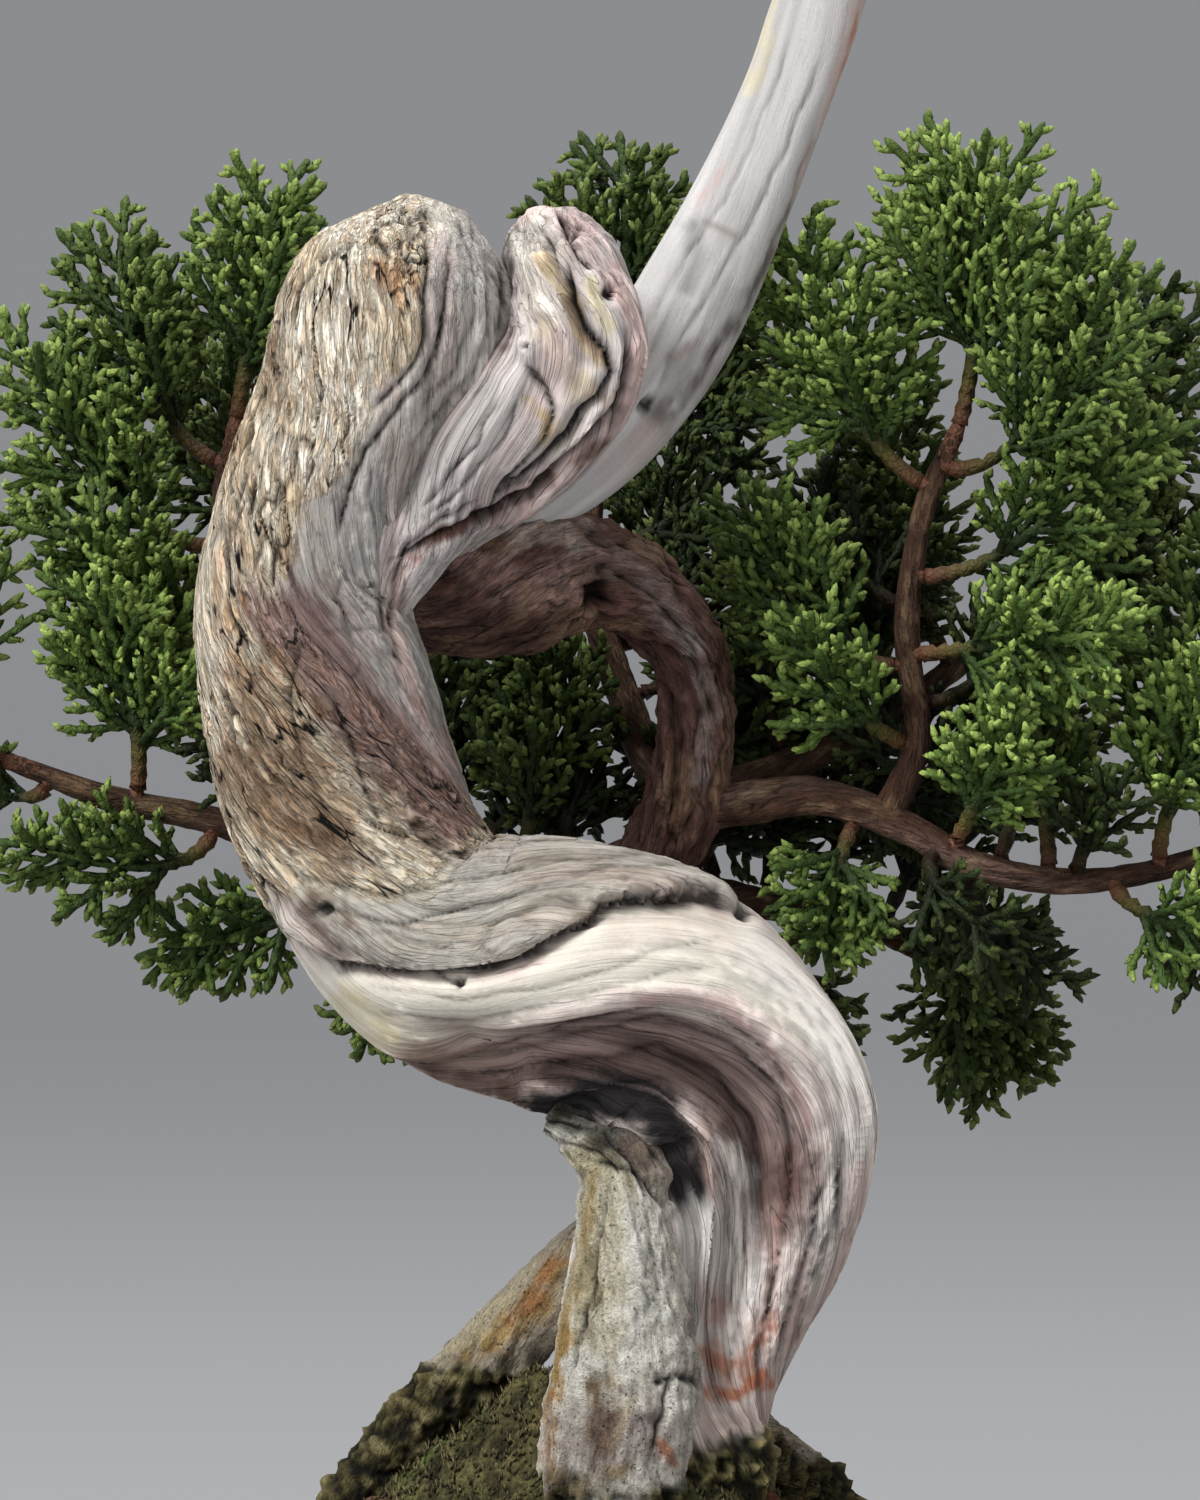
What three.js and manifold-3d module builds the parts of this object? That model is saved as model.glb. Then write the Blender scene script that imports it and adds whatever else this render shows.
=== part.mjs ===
// A small juniper bonsai: a twisted, mostly bleached trunk with one strip of living bark, a dead spike at
// its top, a live branch that drops behind it, sprays of cord-like foliage, and a plain unglazed pot.
// Millimetres, +Z up. The front of the tree faces -Y, and +X is to the right of someone looking at it.
// The origin is the middle of the pot's footprint, on the surface that the pot stands on.
import * as THREE from "three";
import { mergeVertices } from "three/addons/utils/BufferGeometryUtils.js";
import Module from "manifold-3d";

const wasm = await Module();
wasm.setup();

// Driving dimensions
const CLEARANCE = 0.35; // between two separate pieces that touch
const TREE_AT = [0, -9];
const POT = {
  halfLength: 63,
  halfDepth: 50,
  corner: 15,
  cornerSteps: 6,
  height: 33,
  floorTop: 10.5,
  floorUnderside: 5.6,
  footHeight: 6.4,
  footAt: [43, 31],
  footHalf: [11, 7.5],
  drainAt: 27,
  drainRadius: 6,
  wireHoleAt: 15,
  wireHoleRadius: 2,
};
const SCREEN = { half: 10, thick: 0.9, holes: 2, bar: 2.4 };
const GROUND = {
  wallInset: 5.9,
  sides: [
    [8.9, 14],
    [11.6, 10.85],
  ],
  wallLevel: 30.5,
  crownRise: 4,
  moundRise: 21.5,
  moundAt: [TREE_AT[0] + 1, TREE_AT[1] + 5],
  cushion: 0.7,
  columns: 36,
  rings: [0.16, 0.26, 0.36, 0.46, 0.58, 0.72, 0.86, 1],
};
const MOUND_REACH = { left: 33, right: 15.5, front: 19, back: 24 };
const FOOT_HOLE = { columns: 14, levels: [26, 33, 40, 47, 54, 60], slab: 7.5, room: 0.5 };
const CORD = { thick: 1.3, swell: 1.15, rings: [0.2, 0.46, 0.72], sideShare: 0.48 };
const SPRAY = {
  seed: 9001,
  levels: 4,
  firstAt: 0.3,
  lastAt: 0.8,
  socket: 1.6,
  rootRadius: 0.95,
  endRadius: 0.6,
};

// Stations are written from the foot of the tree, and the tree stands in front of the middle of the pot.
function placed(stations) {
  return stations.map(([x, y, z, wide, deep]) => [x + TREE_AT[0], y + TREE_AT[1], z, wide, deep]);
}

// Wood strands. Each station is [x, y, z, half-width across the front view, half-depth].
const TRUNK = placed([
  [1.5, 2, 27, 8.5, 8.5],
  [1.8, 2, 38, 11, 10],
  [2.6, 1.5, 48, 11, 10],
  [4.8, 1, 58, 12, 9.5],
  [8, 0.5, 67, 13, 9.5],
  [9.2, -0.5, 76.3, 14.2, 10],
  [4.6, -2, 84, 14.4, 10.5],
  [-1.5, -3.5, 88.2, 13.8, 11],
  [-9, -4, 90.8, 13.2, 11],
  [-15.5, -3.5, 92, 12.6, 11],
  [-21.4, -2.5, 94.8, 12, 11],
  [-25.4, -1.5, 99.8, 11.7, 11],
  [-28.2, -0.5, 105, 11.9, 11],
  [-30.5, 0.5, 111, 11.7, 10.8],
  [-32, 1, 117.5, 11.4, 10.5],
  [-33.6, 1.5, 124.5, 10.9, 10],
  [-33.8, 1.5, 131, 10.3, 9.8],
  [-31.5, 1, 139, 10.4, 10],
  [-27.6, 0, 146.5, 10.9, 10.5],
  [-24.4, -1, 154.5, 11.9, 10.5],
  [-22.2, -1, 161.5, 10.3, 8.5],
  [-20.4, -0.5, 168, 3, 2.6],
]);
const HOOK = placed([
  [-31, 2, 124, 4.5, 5],
  [-27, 1, 132, 6.4, 7],
  [-20, 0.5, 141.5, 9, 8.6],
  [-11.6, 0, 147.2, 8.6, 8.8],
  [-7, 0, 153.3, 8, 9],
  [-7.6, 0.5, 159.5, 6.5, 7.8],
  [-8.6, 1, 163.8, 5.2, 6],
  [-9.2, 1, 167.3, 2.6, 2.4],
]);
const SPIKE = placed([
  [-22, 7, 133, 4, 4],
  [-14, 9.5, 139, 5.6, 5],
  [-6, 11.5, 144.8, 6.2, 5],
  [0.5, 13.5, 151.6, 6, 4.6],
  [5.7, 15, 159.6, 5.7, 4.3],
  [11, 16, 170, 4.9, 3.8],
  [15.4, 16.5, 180, 4.5, 3.5],
  [18.3, 16.5, 188, 4.6, 3.4],
  [21.2, 16, 197, 3.9, 3],
  [23.2, 15.5, 208, 2.7, 2.3],
  [24.4, 15.5, 219, 1.6, 1.4],
  [24, 16, 229, 0.5, 0.5],
]);
const SPIKE_FORK = placed([
  [18.6, 16.5, 189, 2.6, 2.2],
  [17.6, 17, 197, 1.9, 1.8],
  [15.2, 17.8, 204, 1.3, 1.2],
  [13.8, 18, 210, 0.4, 0.4],
]);
const LIVE_VEIN = placed([
  [-9, -5, 77, 1.8, 2.2],
  [-5.6, -5.6, 75, 2.8, 3.4],
  [-2, -5.8, 71, 4.5, 4.8],
  [-1, -5.8, 64, 5.4, 5.5],
  [-1, -6, 55.5, 6.8, 6],
  [-1.3, -6, 48, 7.6, 6.4],
  [-2.5, -6, 41, 7.3, 6.4],
  [-3.2, -4, 31, 6, 5],
]);
const LEFT_ROOT = placed([
  [-1, 5, 66.4, 3.2, 3.4],
  [-6.2, 7, 60.8, 4, 4],
  [-12, 8.5, 54.8, 4, 4],
  [-18, 9.2, 48.8, 3.7, 3.8],
  [-24, 9.2, 42.6, 3.2, 3.4],
  [-29, 8.5, 36.5, 2.8, 3],
  [-33, 7.5, 28.5, 1.8, 2],
]);
const BACK_ROOT = placed([
  [4, 7, 50, 5, 4],
  [11, 14, 42.5, 3.8, 3.4],
  [18, 20, 37.4, 2.8, 2.6],
  [24, 24, 29, 1.6, 1.6],
]);
const LIVE_BRANCH = placed([
  [-25, 5, 129, 4.5, 5],
  [-18.5, 8, 129.5, 6.6, 6],
  [-12, 11, 130.6, 7.4, 6],
  [-5.4, 14, 130.6, 5.8, 5.2],
  [0.8, 17, 128.2, 4.6, 4.6],
  [5, 19.2, 123.4, 4, 4.1],
  [6, 20.3, 117.6, 3.8, 4],
  [5.4, 21.2, 111.8, 3.8, 4],
  [3.6, 22.6, 106, 4.2, 4.2],
  [0.6, 24.6, 101, 3.6, 3.8],
  [-4, 27.6, 98.6, 2.6, 2.8],
]);
const RIGHT_BRANCH = placed([
  [3.5, 22, 107, 3.2, 3.2],
  [11.5, 22, 107.8, 2.3, 2.3],
  [19, 20.5, 108.2, 1.9, 1.9],
  [27, 18.5, 105.2, 1.7, 1.7],
  [35, 17, 101, 1.5, 1.5],
  [45, 18, 99.6, 1.3, 1.3],
  [56, 20.5, 101.6, 1.1, 1.1],
  [65, 23, 105.5, 0.8, 0.8],
]);
const RIGHT_LEADER = placed([
  [25, 19, 105.8, 1.6, 1.6],
  [28.4, 19.6, 114, 1.4, 1.4],
  [27.4, 20.4, 125.5, 1.25, 1.25],
  [29, 20, 137, 1.1, 1.1],
  [32.6, 20, 146, 0.8, 0.8],
]);
const RIGHT_BACK = placed([
  [7, 22, 108.4, 2, 2],
  [17, 29.5, 112, 1.7, 1.7],
  [28, 37, 118, 1.4, 1.4],
  [38, 42, 126, 1.1, 1.1],
  [44, 44, 134, 0.8, 0.8],
]);
const LEFT_BRANCH = placed([
  [1, 24.5, 101.5, 3.2, 3.2],
  [-9, 29, 98.8, 2.4, 2.4],
  [-20, 30, 98.6, 2, 2],
  [-32, 28, 101.8, 1.8, 1.8],
  [-44, 25, 105.8, 1.5, 1.5],
  [-55, 23.5, 108.2, 1.25, 1.25],
  [-65, 23, 112, 0.8, 0.8],
]);
const LEFT_LEADER = placed([
  [-33, 27.8, 102.3, 1.6, 1.6],
  [-38.6, 30, 113, 1.4, 1.4],
  [-41, 29.4, 126, 1.25, 1.25],
  [-43, 27.6, 138, 1.05, 1.05],
  [-41.4, 26, 147, 0.8, 0.8],
]);
const LEFT_BACK = placed([
  [-13, 29.6, 98.6, 1.9, 1.9],
  [-21, 36.5, 103.5, 1.6, 1.6],
  [-30, 42, 111.5, 1.35, 1.35],
  [-36, 44.5, 121.5, 1.05, 1.05],
  [-38, 45, 130, 0.8, 0.8],
]);
const APEX_BRANCH = placed([
  [1.5, 24.4, 103, 2.7, 2.7],
  [2.6, 33, 107.5, 2.2, 2.2],
  [-1, 40, 117, 1.8, 1.8],
  [-5, 43, 130.5, 1.5, 1.5],
  [-4.4, 42.5, 144, 1.15, 1.15],
  [-2.4, 41, 152.5, 0.8, 0.8],
]);
const LOW_BRANCH = placed([
  [0.5, 25.4, 101.4, 2.5, 2.5],
  [7, 31.5, 98.4, 1.9, 1.9],
  [15, 37, 96.6, 1.5, 1.5],
  [23.5, 40.5, 94.6, 1.1, 1.1],
  [30, 42, 91.6, 0.8, 0.8],
]);

// Hollows and grooves of the front face, as lines in the front view: [x, z] points, half-width, depth.
const CHISELLED = [
  {
    line: [[-17, 80.5], [-6, 80.6], [3, 81], [10.5, 78], [12.8, 70], [10.6, 60], [8, 51]],
    reach: 4.6,
    depth: 4.4,
  },
  { line: [[-8, 76], [0, 77.6], [4.6, 73], [5.4, 64], [6.2, 54]], reach: 1.9, depth: 3.2 },
  { line: [[-14, 165.5], [-12.4, 158], [-12.6, 152], [-10, 149]], reach: 1.8, depth: 1.6 },
  {
    line: [[-30, 92.4], [-21, 91.2], [-12, 92.6], [-4, 97.4], [4, 98.4], [10, 96.6]],
    reach: 1.6,
    depth: 1.5,
  },
];

// Sprays: the branch, how far along it, where the tip is from there [right, back, up], and how wide the
// fan is to each side.
const SPRAYS = [
  [RIGHT_LEADER, 1, [1, -2, 27], 16],
  [RIGHT_LEADER, 0.9, [17, -3, 21], 14],
  [RIGHT_LEADER, 0.84, [-13, -2, 25], 13],
  [RIGHT_LEADER, 0.62, [23, -4, 17], 13],
  [RIGHT_LEADER, 0.42, [20, -14, 2], 12],
  [RIGHT_LEADER, 0.4, [-17, 1, 17], 12],
  [RIGHT_LEADER, 0.2, [-12, -8, 12], 9],
  [RIGHT_BRANCH, 1, [11, 0, 16], 13],
  [RIGHT_BRANCH, 0.9, [1, 4, 30], 14],
  [RIGHT_BRANCH, 0.8, [8, -8, 20], 12],
  [RIGHT_BRANCH, 0.62, [-3, 6, 19], 10],
  [RIGHT_BRANCH, 0.72, [17, -5, -6], 9],
  [RIGHT_BACK, 1, [10, 3, 26], 15],
  [RIGHT_BACK, 0.8, [19, 4, 12], 13],
  [RIGHT_BACK, 0.66, [-9, -4, 31], 14],
  [RIGHT_BACK, 0.42, [6, 11, 19], 12],
  [LEFT_LEADER, 1, [4, -1, 23], 13],
  [LEFT_LEADER, 0.9, [-11, -2, 22], 13],
  [LEFT_LEADER, 0.72, [-20, -5, 20], 13],
  [LEFT_LEADER, 0.5, [-17, -9, 12], 12],
  [LEFT_LEADER, 0.36, [12, -4, 20], 11],
  [LEFT_BRANCH, 1, [-8, -1, 24], 14],
  [LEFT_BRANCH, 0.93, [-12, 0, 3], 8],
  [LEFT_BRANCH, 0.8, [-4, -7, 22], 12],
  [LEFT_BRANCH, 0.68, [-20, -7, -2], 9],
  [LEFT_BRANCH, 0.5, [-17, -2, -9], 9],
  [LEFT_BRANCH, 0.34, [-7, -1, -15], 9],
  [LEFT_BRANCH, 0.2, [5, 5, 22], 11],
  [LEFT_BACK, 1, [-7, 3, 26], 14],
  [LEFT_BACK, 0.72, [-19, 4, 14], 13],
  [APEX_BRANCH, 1, [1, -2, 21], 13],
  [APEX_BRANCH, 0.86, [15, 0, 17], 13],
  [APEX_BRANCH, 0.78, [-15, 0, 17], 12],
  [APEX_BRANCH, 0.5, [4, 9, 19], 11],
  [APEX_BRANCH, 0.35, [-14, -3, 9], 10],
  [LOW_BRANCH, 1, [9, 2, -12], 12],
  [LOW_BRANCH, 0.6, [1, 6, -15], 10],
  [RIGHT_BRANCH, 0.46, [6, -10, 12], 9],
  [RIGHT_BRANCH, 0.3, [-4, -5, -14], 9],
  [LOW_BRANCH, 0.84, [15, -5, -4], 10],
  [LEFT_BACK, 0.22, [-4, 2, 20], 10],
  [APEX_BRANCH, 0.2, [13, 3, 17], 10],
];

const VIEWER = new THREE.Vector3(0, -1, 0);

// A repeatable stream of numbers from 0 to 1.
function drawsFrom(seed) {
  let state = seed;
  return () => {
    state = (state * 1664525 + 1013904223) % 4294967296;
    return state / 4294967296;
  };
}

// A closed geometry as a manifold-3d solid, with its faces turned out.
function solidFrom(geometry) {
  const bare = geometry.clone();
  for (const name of ["normal", "uv"]) bare.deleteAttribute(name);
  const merged = mergeVertices(bare, 1e-4);
  const index = merged.index.array;
  const kept = [];
  for (let i = 0; i < index.length; i += 3) {
    const [a, b, c] = [index[i], index[i + 1], index[i + 2]];
    if (a !== b && b !== c && c !== a) kept.push(a, b, c);
  }
  const vertProperties = merged.attributes.position.array;
  const triVerts = new Uint32Array(kept);
  const solid = new wasm.Manifold(new wasm.Mesh({ numProp: 3, vertProperties, triVerts }));
  if (solid.volume() > 0) return solid;
  for (let i = 0; i < kept.length; i += 3) [kept[i + 1], kept[i + 2]] = [kept[i + 2], kept[i + 1]];
  return new wasm.Manifold(new wasm.Mesh({ numProp: 3, vertProperties, triVerts: new Uint32Array(kept) }));
}

// The biggest body of a solid, which drops loose scraps.
function biggestOf(solid) {
  return solid.decompose().reduce((best, body) => (body.volume() > best.volume() ? body : best));
}

function meshOf(name, solid, material) {
  const { numProp, vertProperties, triVerts } = solid.getMesh();
  const points = new Float32Array((vertProperties.length / numProp) * 3);
  for (let i = 0; i < points.length / 3; i++) {
    points.set(vertProperties.subarray(i * numProp, i * numProp + 3), i * 3);
  }
  const geometry = new THREE.BufferGeometry();
  geometry.setAttribute("position", new THREE.BufferAttribute(points, 3));
  geometry.setIndex(new THREE.BufferAttribute(new Uint32Array(triVerts), 1));
  geometry.computeVertexNormals();
  const mesh = new THREE.Mesh(geometry, material);
  mesh.name = name;
  return mesh;
}

// A closed body from a lattice of columns round an axis and rows along it. The end rows are poles.
function latticeSolid(columns, rows, place) {
  const profile = [];
  for (let j = 0; j < rows; j++) {
    const angle = (Math.PI * j) / (rows - 1);
    profile.push(new THREE.Vector2(Math.sin(angle), -Math.cos(angle)));
  }
  const lattice = new THREE.LatheGeometry(profile, columns);
  const position = lattice.getAttribute("position");
  for (let i = 0; i <= columns; i++) {
    for (let j = 0; j < rows; j++) {
      const p = place(i % columns, j);
      position.setXYZ(i * rows + j, p.x, p.y, p.z);
    }
  }
  return solidFrom(lattice);
}

// How far a point is from a line of points in the front view.
function distanceToLine(x, z, line) {
  let nearest = Infinity;
  for (let i = 1; i < line.length; i++) {
    const [ax, az] = line[i - 1];
    const [bx, bz] = line[i];
    const along = ((x - ax) * (bx - ax) + (z - az) * (bz - az)) / ((bx - ax) ** 2 + (bz - az) ** 2);
    const share = Math.min(1, Math.max(0, along));
    nearest = Math.min(nearest, Math.hypot(x - ax - share * (bx - ax), z - az - share * (bz - az)));
  }
  return nearest;
}

// How deep the front face is cut at a place in the front view.
function chiselDepth(x, z) {
  let depth = 0;
  for (const cut of CHISELLED) {
    depth = Math.max(depth, cut.depth * Math.exp(-((distanceToLine(x, z, cut.line) / cut.reach) ** 2)));
  }
  return depth;
}

// The middle line of a strand and its half-sizes.
function spineOf(stations) {
  const line = new THREE.CatmullRomCurve3(
    stations.map(([x, y, z]) => new THREE.Vector3(x, y, z)),
    false,
    "catmullrom",
  );
  const sizes = new THREE.CatmullRomCurve3(
    stations.map(([, , , wide, deep]) => new THREE.Vector3(wide, deep, 0)),
    false,
    "catmullrom",
  );
  return {
    at: (t) => line.getPoint(t),
    along: (t) => line.getTangent(t),
    sizeAt: (t) => sizes.getPoint(t),
    evenly: (share) => line.getUtoTmapping(share),
  };
}

// A strand of wood along its stations. Furrows turn round it, and grow makes it fatter all over.
const PLAIN_STRAND = { furrow: 0, furrows: 3, turns: 0.6, chiselled: false, grow: 0 };
function strand(stations, sides, rings, style = {}) {
  const { furrow, furrows, turns, chiselled, grow } = { ...PLAIN_STRAND, ...style };
  const spine = spineOf(stations);
  return latticeSolid(sides, rings + 1, (i, j) => {
    const share = j / rings;
    const t = spine.evenly(share);
    const centre = spine.at(t);
    const tangent = spine.along(t);
    if (share === 0) return centre.addScaledVector(tangent, -grow);
    if (share === 1) return centre.addScaledVector(tangent, grow);
    const front = VIEWER.clone().addScaledVector(tangent, -VIEWER.dot(tangent)).normalize();
    const side = tangent.clone().cross(front);
    const angle = (2 * Math.PI * i) / sides;
    const size = spine.sizeAt(t);
    const ridge = 1 + furrow * Math.cos(furrows * (angle + 2 * Math.PI * turns * share));
    const frontness = Math.cos(angle);
    const wide = (size.x * ridge + grow) * Math.sin(angle);
    const deep = (size.y * ridge + grow) * frontness;
    const point = centre.clone().addScaledVector(side, wide).addScaledVector(front, deep);
    if (chiselled && frontness > 0) {
      const cut = chiselDepth(point.x - TREE_AT[0], point.z) * Math.min(1, 2.2 * frontness);
      point.addScaledVector(point.clone().sub(centre).normalize(), -cut);
    }
    return point;
  });
}

// The two roots that show above the soil, or with grow the plain holes that they lie in.
function bareRoots(grow = 0) {
  return strand(LEFT_ROOT, 6, 11, { furrow: 0.06, furrows: 2, turns: 0.5, grow }).add(
    strand(BACK_ROOT, 6, 6, { grow }),
  );
}

// All the wood of the tree, which grew as one piece.
function wood() {
  const parts = [
    strand(TRUNK, 22, 50, { furrow: 0.035, furrows: 4, turns: 1.1, chiselled: true }),
    strand(HOOK, 13, 14, { furrow: 0.07, furrows: 4, turns: 0.5, chiselled: true }),
    strand(SPIKE, 8, 18, { furrow: 0.08, furrows: 3, turns: 0.4 }),
    strand(SPIKE_FORK, 4, 4),
    strand(LIVE_VEIN, 10, 10, { furrow: 0.05, furrows: 3, turns: 0.1 }),
    bareRoots(),
    strand(LIVE_BRANCH, 10, 18, { furrow: 0.08, furrows: 3, turns: 0.7 }),
    strand(RIGHT_BRANCH, 5, 12),
    strand(RIGHT_LEADER, 4, 8),
    strand(RIGHT_BACK, 5, 7),
    strand(LEFT_BRANCH, 5, 11),
    strand(LEFT_LEADER, 4, 8),
    strand(LEFT_BACK, 5, 7),
    strand(APEX_BRANCH, 5, 9),
    strand(LOW_BRANCH, 5, 6),
  ];
  return biggestOf(parts.reduce((joined, part) => joined.add(part)));
}

// A point of the pot's rounded outline, set in from the rim's edge.
const OUTLINE_POINTS = 4 * POT.cornerSteps;
function outlinePoint(index, inset) {
  const corner = Math.floor(index / POT.cornerSteps);
  const turn = (index % POT.cornerSteps) / (POT.cornerSteps - 1);
  const angle = (corner + turn) * (Math.PI / 2);
  const signX = corner === 0 || corner === 3 ? 1 : -1;
  const signY = corner < 2 ? 1 : -1;
  const radius = POT.corner - inset;
  return new THREE.Vector2(
    signX * (POT.halfLength - POT.corner) + radius * Math.cos(angle),
    signY * (POT.halfDepth - POT.corner) + radius * Math.sin(angle),
  );
}

function boxSolid(width, depth, height, x, y, z) {
  return solidFrom(new THREE.BoxGeometry(width, depth, height).translate(x, y, z));
}

function rodSolid(radius, height, x, y, z) {
  const rod = new THREE.CylinderGeometry(radius, radius, height, 14).rotateX(Math.PI / 2);
  return solidFrom(rod.translate(x, y, z));
}

// The pot's wall in section, from the middle of its underside round the rim to the middle of its floor.
// Each point is how far it is set in from the rim's edge, and its height.
function potSolid() {
  const section = [
    [null, POT.floorUnderside],
    [10, POT.floorUnderside],
    [7.2, 7.6],
    [4.4, 20],
    [2.6, POT.height - 5.9],
    [0.4, POT.height - 4.9],
    [0, POT.height - 3.9],
    [0, POT.height - 0.9],
    [0.8, POT.height],
    [4.4, POT.height],
    [5.2, POT.height - 0.9],
    [8.6, 13],
    [11, POT.floorTop],
    [null, POT.floorTop],
  ];
  let pot = latticeSolid(OUTLINE_POINTS, section.length, (i, j) => {
    const [inset, z] = section[j];
    if (inset === null) return new THREE.Vector3(0, 0, z);
    const p = outlinePoint(i, inset);
    return new THREE.Vector3(p.x, p.y, z);
  });
  for (const signX of [-1, 1]) {
    for (const signY of [-1, 1]) pot = pot.add(footSolid(signX, signY));
    pot = pot.subtract(rodSolid(POT.drainRadius, 12, signX * POT.drainAt, 0, POT.floorTop - 3));
    pot = pot.subtract(rodSolid(POT.wireHoleRadius, 12, 0, signX * POT.wireHoleAt, POT.floorTop - 3));
  }
  return pot;
}

// A foot that narrows towards the surface, set under one corner of the pot.
function footSolid(signX, signY) {
  const shape = new THREE.Shape();
  const [halfX, halfY] = POT.footHalf;
  const cut = 3;
  shape.moveTo(-halfX, -halfY + cut);
  shape.lineTo(-halfX + cut, -halfY);
  shape.lineTo(halfX - cut, -halfY);
  shape.lineTo(halfX, -halfY + cut);
  shape.lineTo(halfX, halfY - cut);
  shape.lineTo(halfX - cut, halfY);
  shape.lineTo(-halfX + cut, halfY);
  shape.lineTo(-halfX, halfY - cut);
  shape.closePath();
  const foot = new THREE.ExtrudeGeometry(shape, { depth: POT.footHeight + 0.6, bevelEnabled: false });
  const position = foot.getAttribute("position");
  for (let i = 0; i < position.count; i++) {
    const taper = position.getZ(i) > 1 ? 1 : 0.84;
    position.setXY(i, position.getX(i) * taper, position.getY(i) * taper);
  }
  return solidFrom(foot.translate(signX * POT.footAt[0], signY * POT.footAt[1], 0));
}

// A mesh screen that lies over a drain hole and keeps the soil in.
function screenSolid(x) {
  const middle = POT.floorTop + CLEARANCE + SCREEN.thick / 2;
  let screen = boxSolid(2 * SCREEN.half, 2 * SCREEN.half, SCREEN.thick, x, 0, middle);
  const pitch = (2 * SCREEN.half - SCREEN.bar) / SCREEN.holes;
  for (let i = 0; i < SCREEN.holes; i++) {
    for (let j = 0; j < SCREEN.holes; j++) {
      const holeX = x - SCREEN.half + SCREEN.bar / 2 + pitch * (i + 0.5);
      const holeY = -SCREEN.half + SCREEN.bar / 2 + pitch * (j + 0.5);
      const side = pitch - SCREEN.bar;
      screen = screen.subtract(boxSolid(side, side, 3 * SCREEN.thick, holeX, holeY, middle));
    }
  }
  return screen;
}

// Soil level: nearly flat at the wall, with a mound that is long to the left and steep to the right.
function groundHeight(x, y) {
  const across = x / POT.halfLength;
  const back = y / POT.halfDepth;
  const crown = GROUND.crownRise * Math.max(0, 1 - across * across) * Math.max(0, 1 - back * back);
  const dx = x - GROUND.moundAt[0];
  const dy = y - GROUND.moundAt[1];
  const reachX = dx < 0 ? MOUND_REACH.left : MOUND_REACH.right;
  const reachY = dy < 0 ? MOUND_REACH.front : MOUND_REACH.back;
  const away = Math.hypot(dx / reachX, dy / reachY);
  const mound = away < 1 ? GROUND.moundRise * (1 - away ** 1.35) ** 1.15 : 0;
  const acrossWave = Math.sin(x * 0.53 + 1.3 * Math.sin(y * 0.31));
  const backWave = Math.sin(y * 0.47 + 1.1 * Math.sin(x * 0.33));
  return GROUND.wallLevel + crown + mound + GROUND.cushion * acrossWave * backWave;
}

// Whether a place is within the pot's rounded outline, set in from the rim's edge.
function withinOutline(x, y, inset) {
  const halfX = POT.halfLength - inset;
  const halfY = POT.halfDepth - inset;
  const radius = POT.corner - inset;
  const dx = Math.max(0, Math.abs(x) - halfX + radius);
  const dy = Math.max(0, Math.abs(y) - halfY + radius);
  return Math.abs(x) < halfX && Math.abs(y) < halfY && Math.hypot(dx, dy) < radius;
}

// A place on the ground: a share of the way from the mound's middle out to an inset outline.
function groundPoint(column, share, inset) {
  const angle = (2 * Math.PI * column) / GROUND.columns;
  const [cx, cy] = GROUND.moundAt;
  let inside = 0;
  let outside = 2 * POT.halfLength;
  while (outside - inside > 1e-4) {
    const middle = (inside + outside) / 2;
    if (withinOutline(cx + Math.cos(angle) * middle, cy + Math.sin(angle) * middle, inset)) inside = middle;
    else outside = middle;
  }
  return new THREE.Vector2(cx + Math.cos(angle) * inside * share, cy + Math.sin(angle) * inside * share);
}

// The soil fills the pot: its sides lean in with the wall.
function soilSolid(hollow) {
  const bottom = POT.floorTop + CLEARANCE;
  const top = GROUND.rings.length;
  const rows = top + GROUND.sides.length + 2;
  const [cx, cy] = GROUND.moundAt;
  const solid = latticeSolid(GROUND.columns, rows, (i, j) => {
    if (j === 0) return new THREE.Vector3(cx, cy, groundHeight(cx, cy));
    if (j === rows - 1) return new THREE.Vector3(cx, cy, bottom);
    if (j <= top) {
      const p = groundPoint(i, GROUND.rings[j - 1], GROUND.wallInset);
      return new THREE.Vector3(p.x, p.y, groundHeight(p.x, p.y));
    }
    const [inset, z] = GROUND.sides[j - 1 - top];
    const p = groundPoint(i, 1, inset);
    return new THREE.Vector3(p.x, p.y, z);
  });
  let soil = solid.subtract(hollow);
  const pocket = 2 * (SCREEN.half + CLEARANCE);
  for (const x of [-POT.drainAt, POT.drainAt]) {
    soil = soil.subtract(boxSolid(pocket, pocket, 2 * (SCREEN.thick + CLEARANCE), x, 0, bottom));
  }
  return biggestOf(soil);
}

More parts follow.
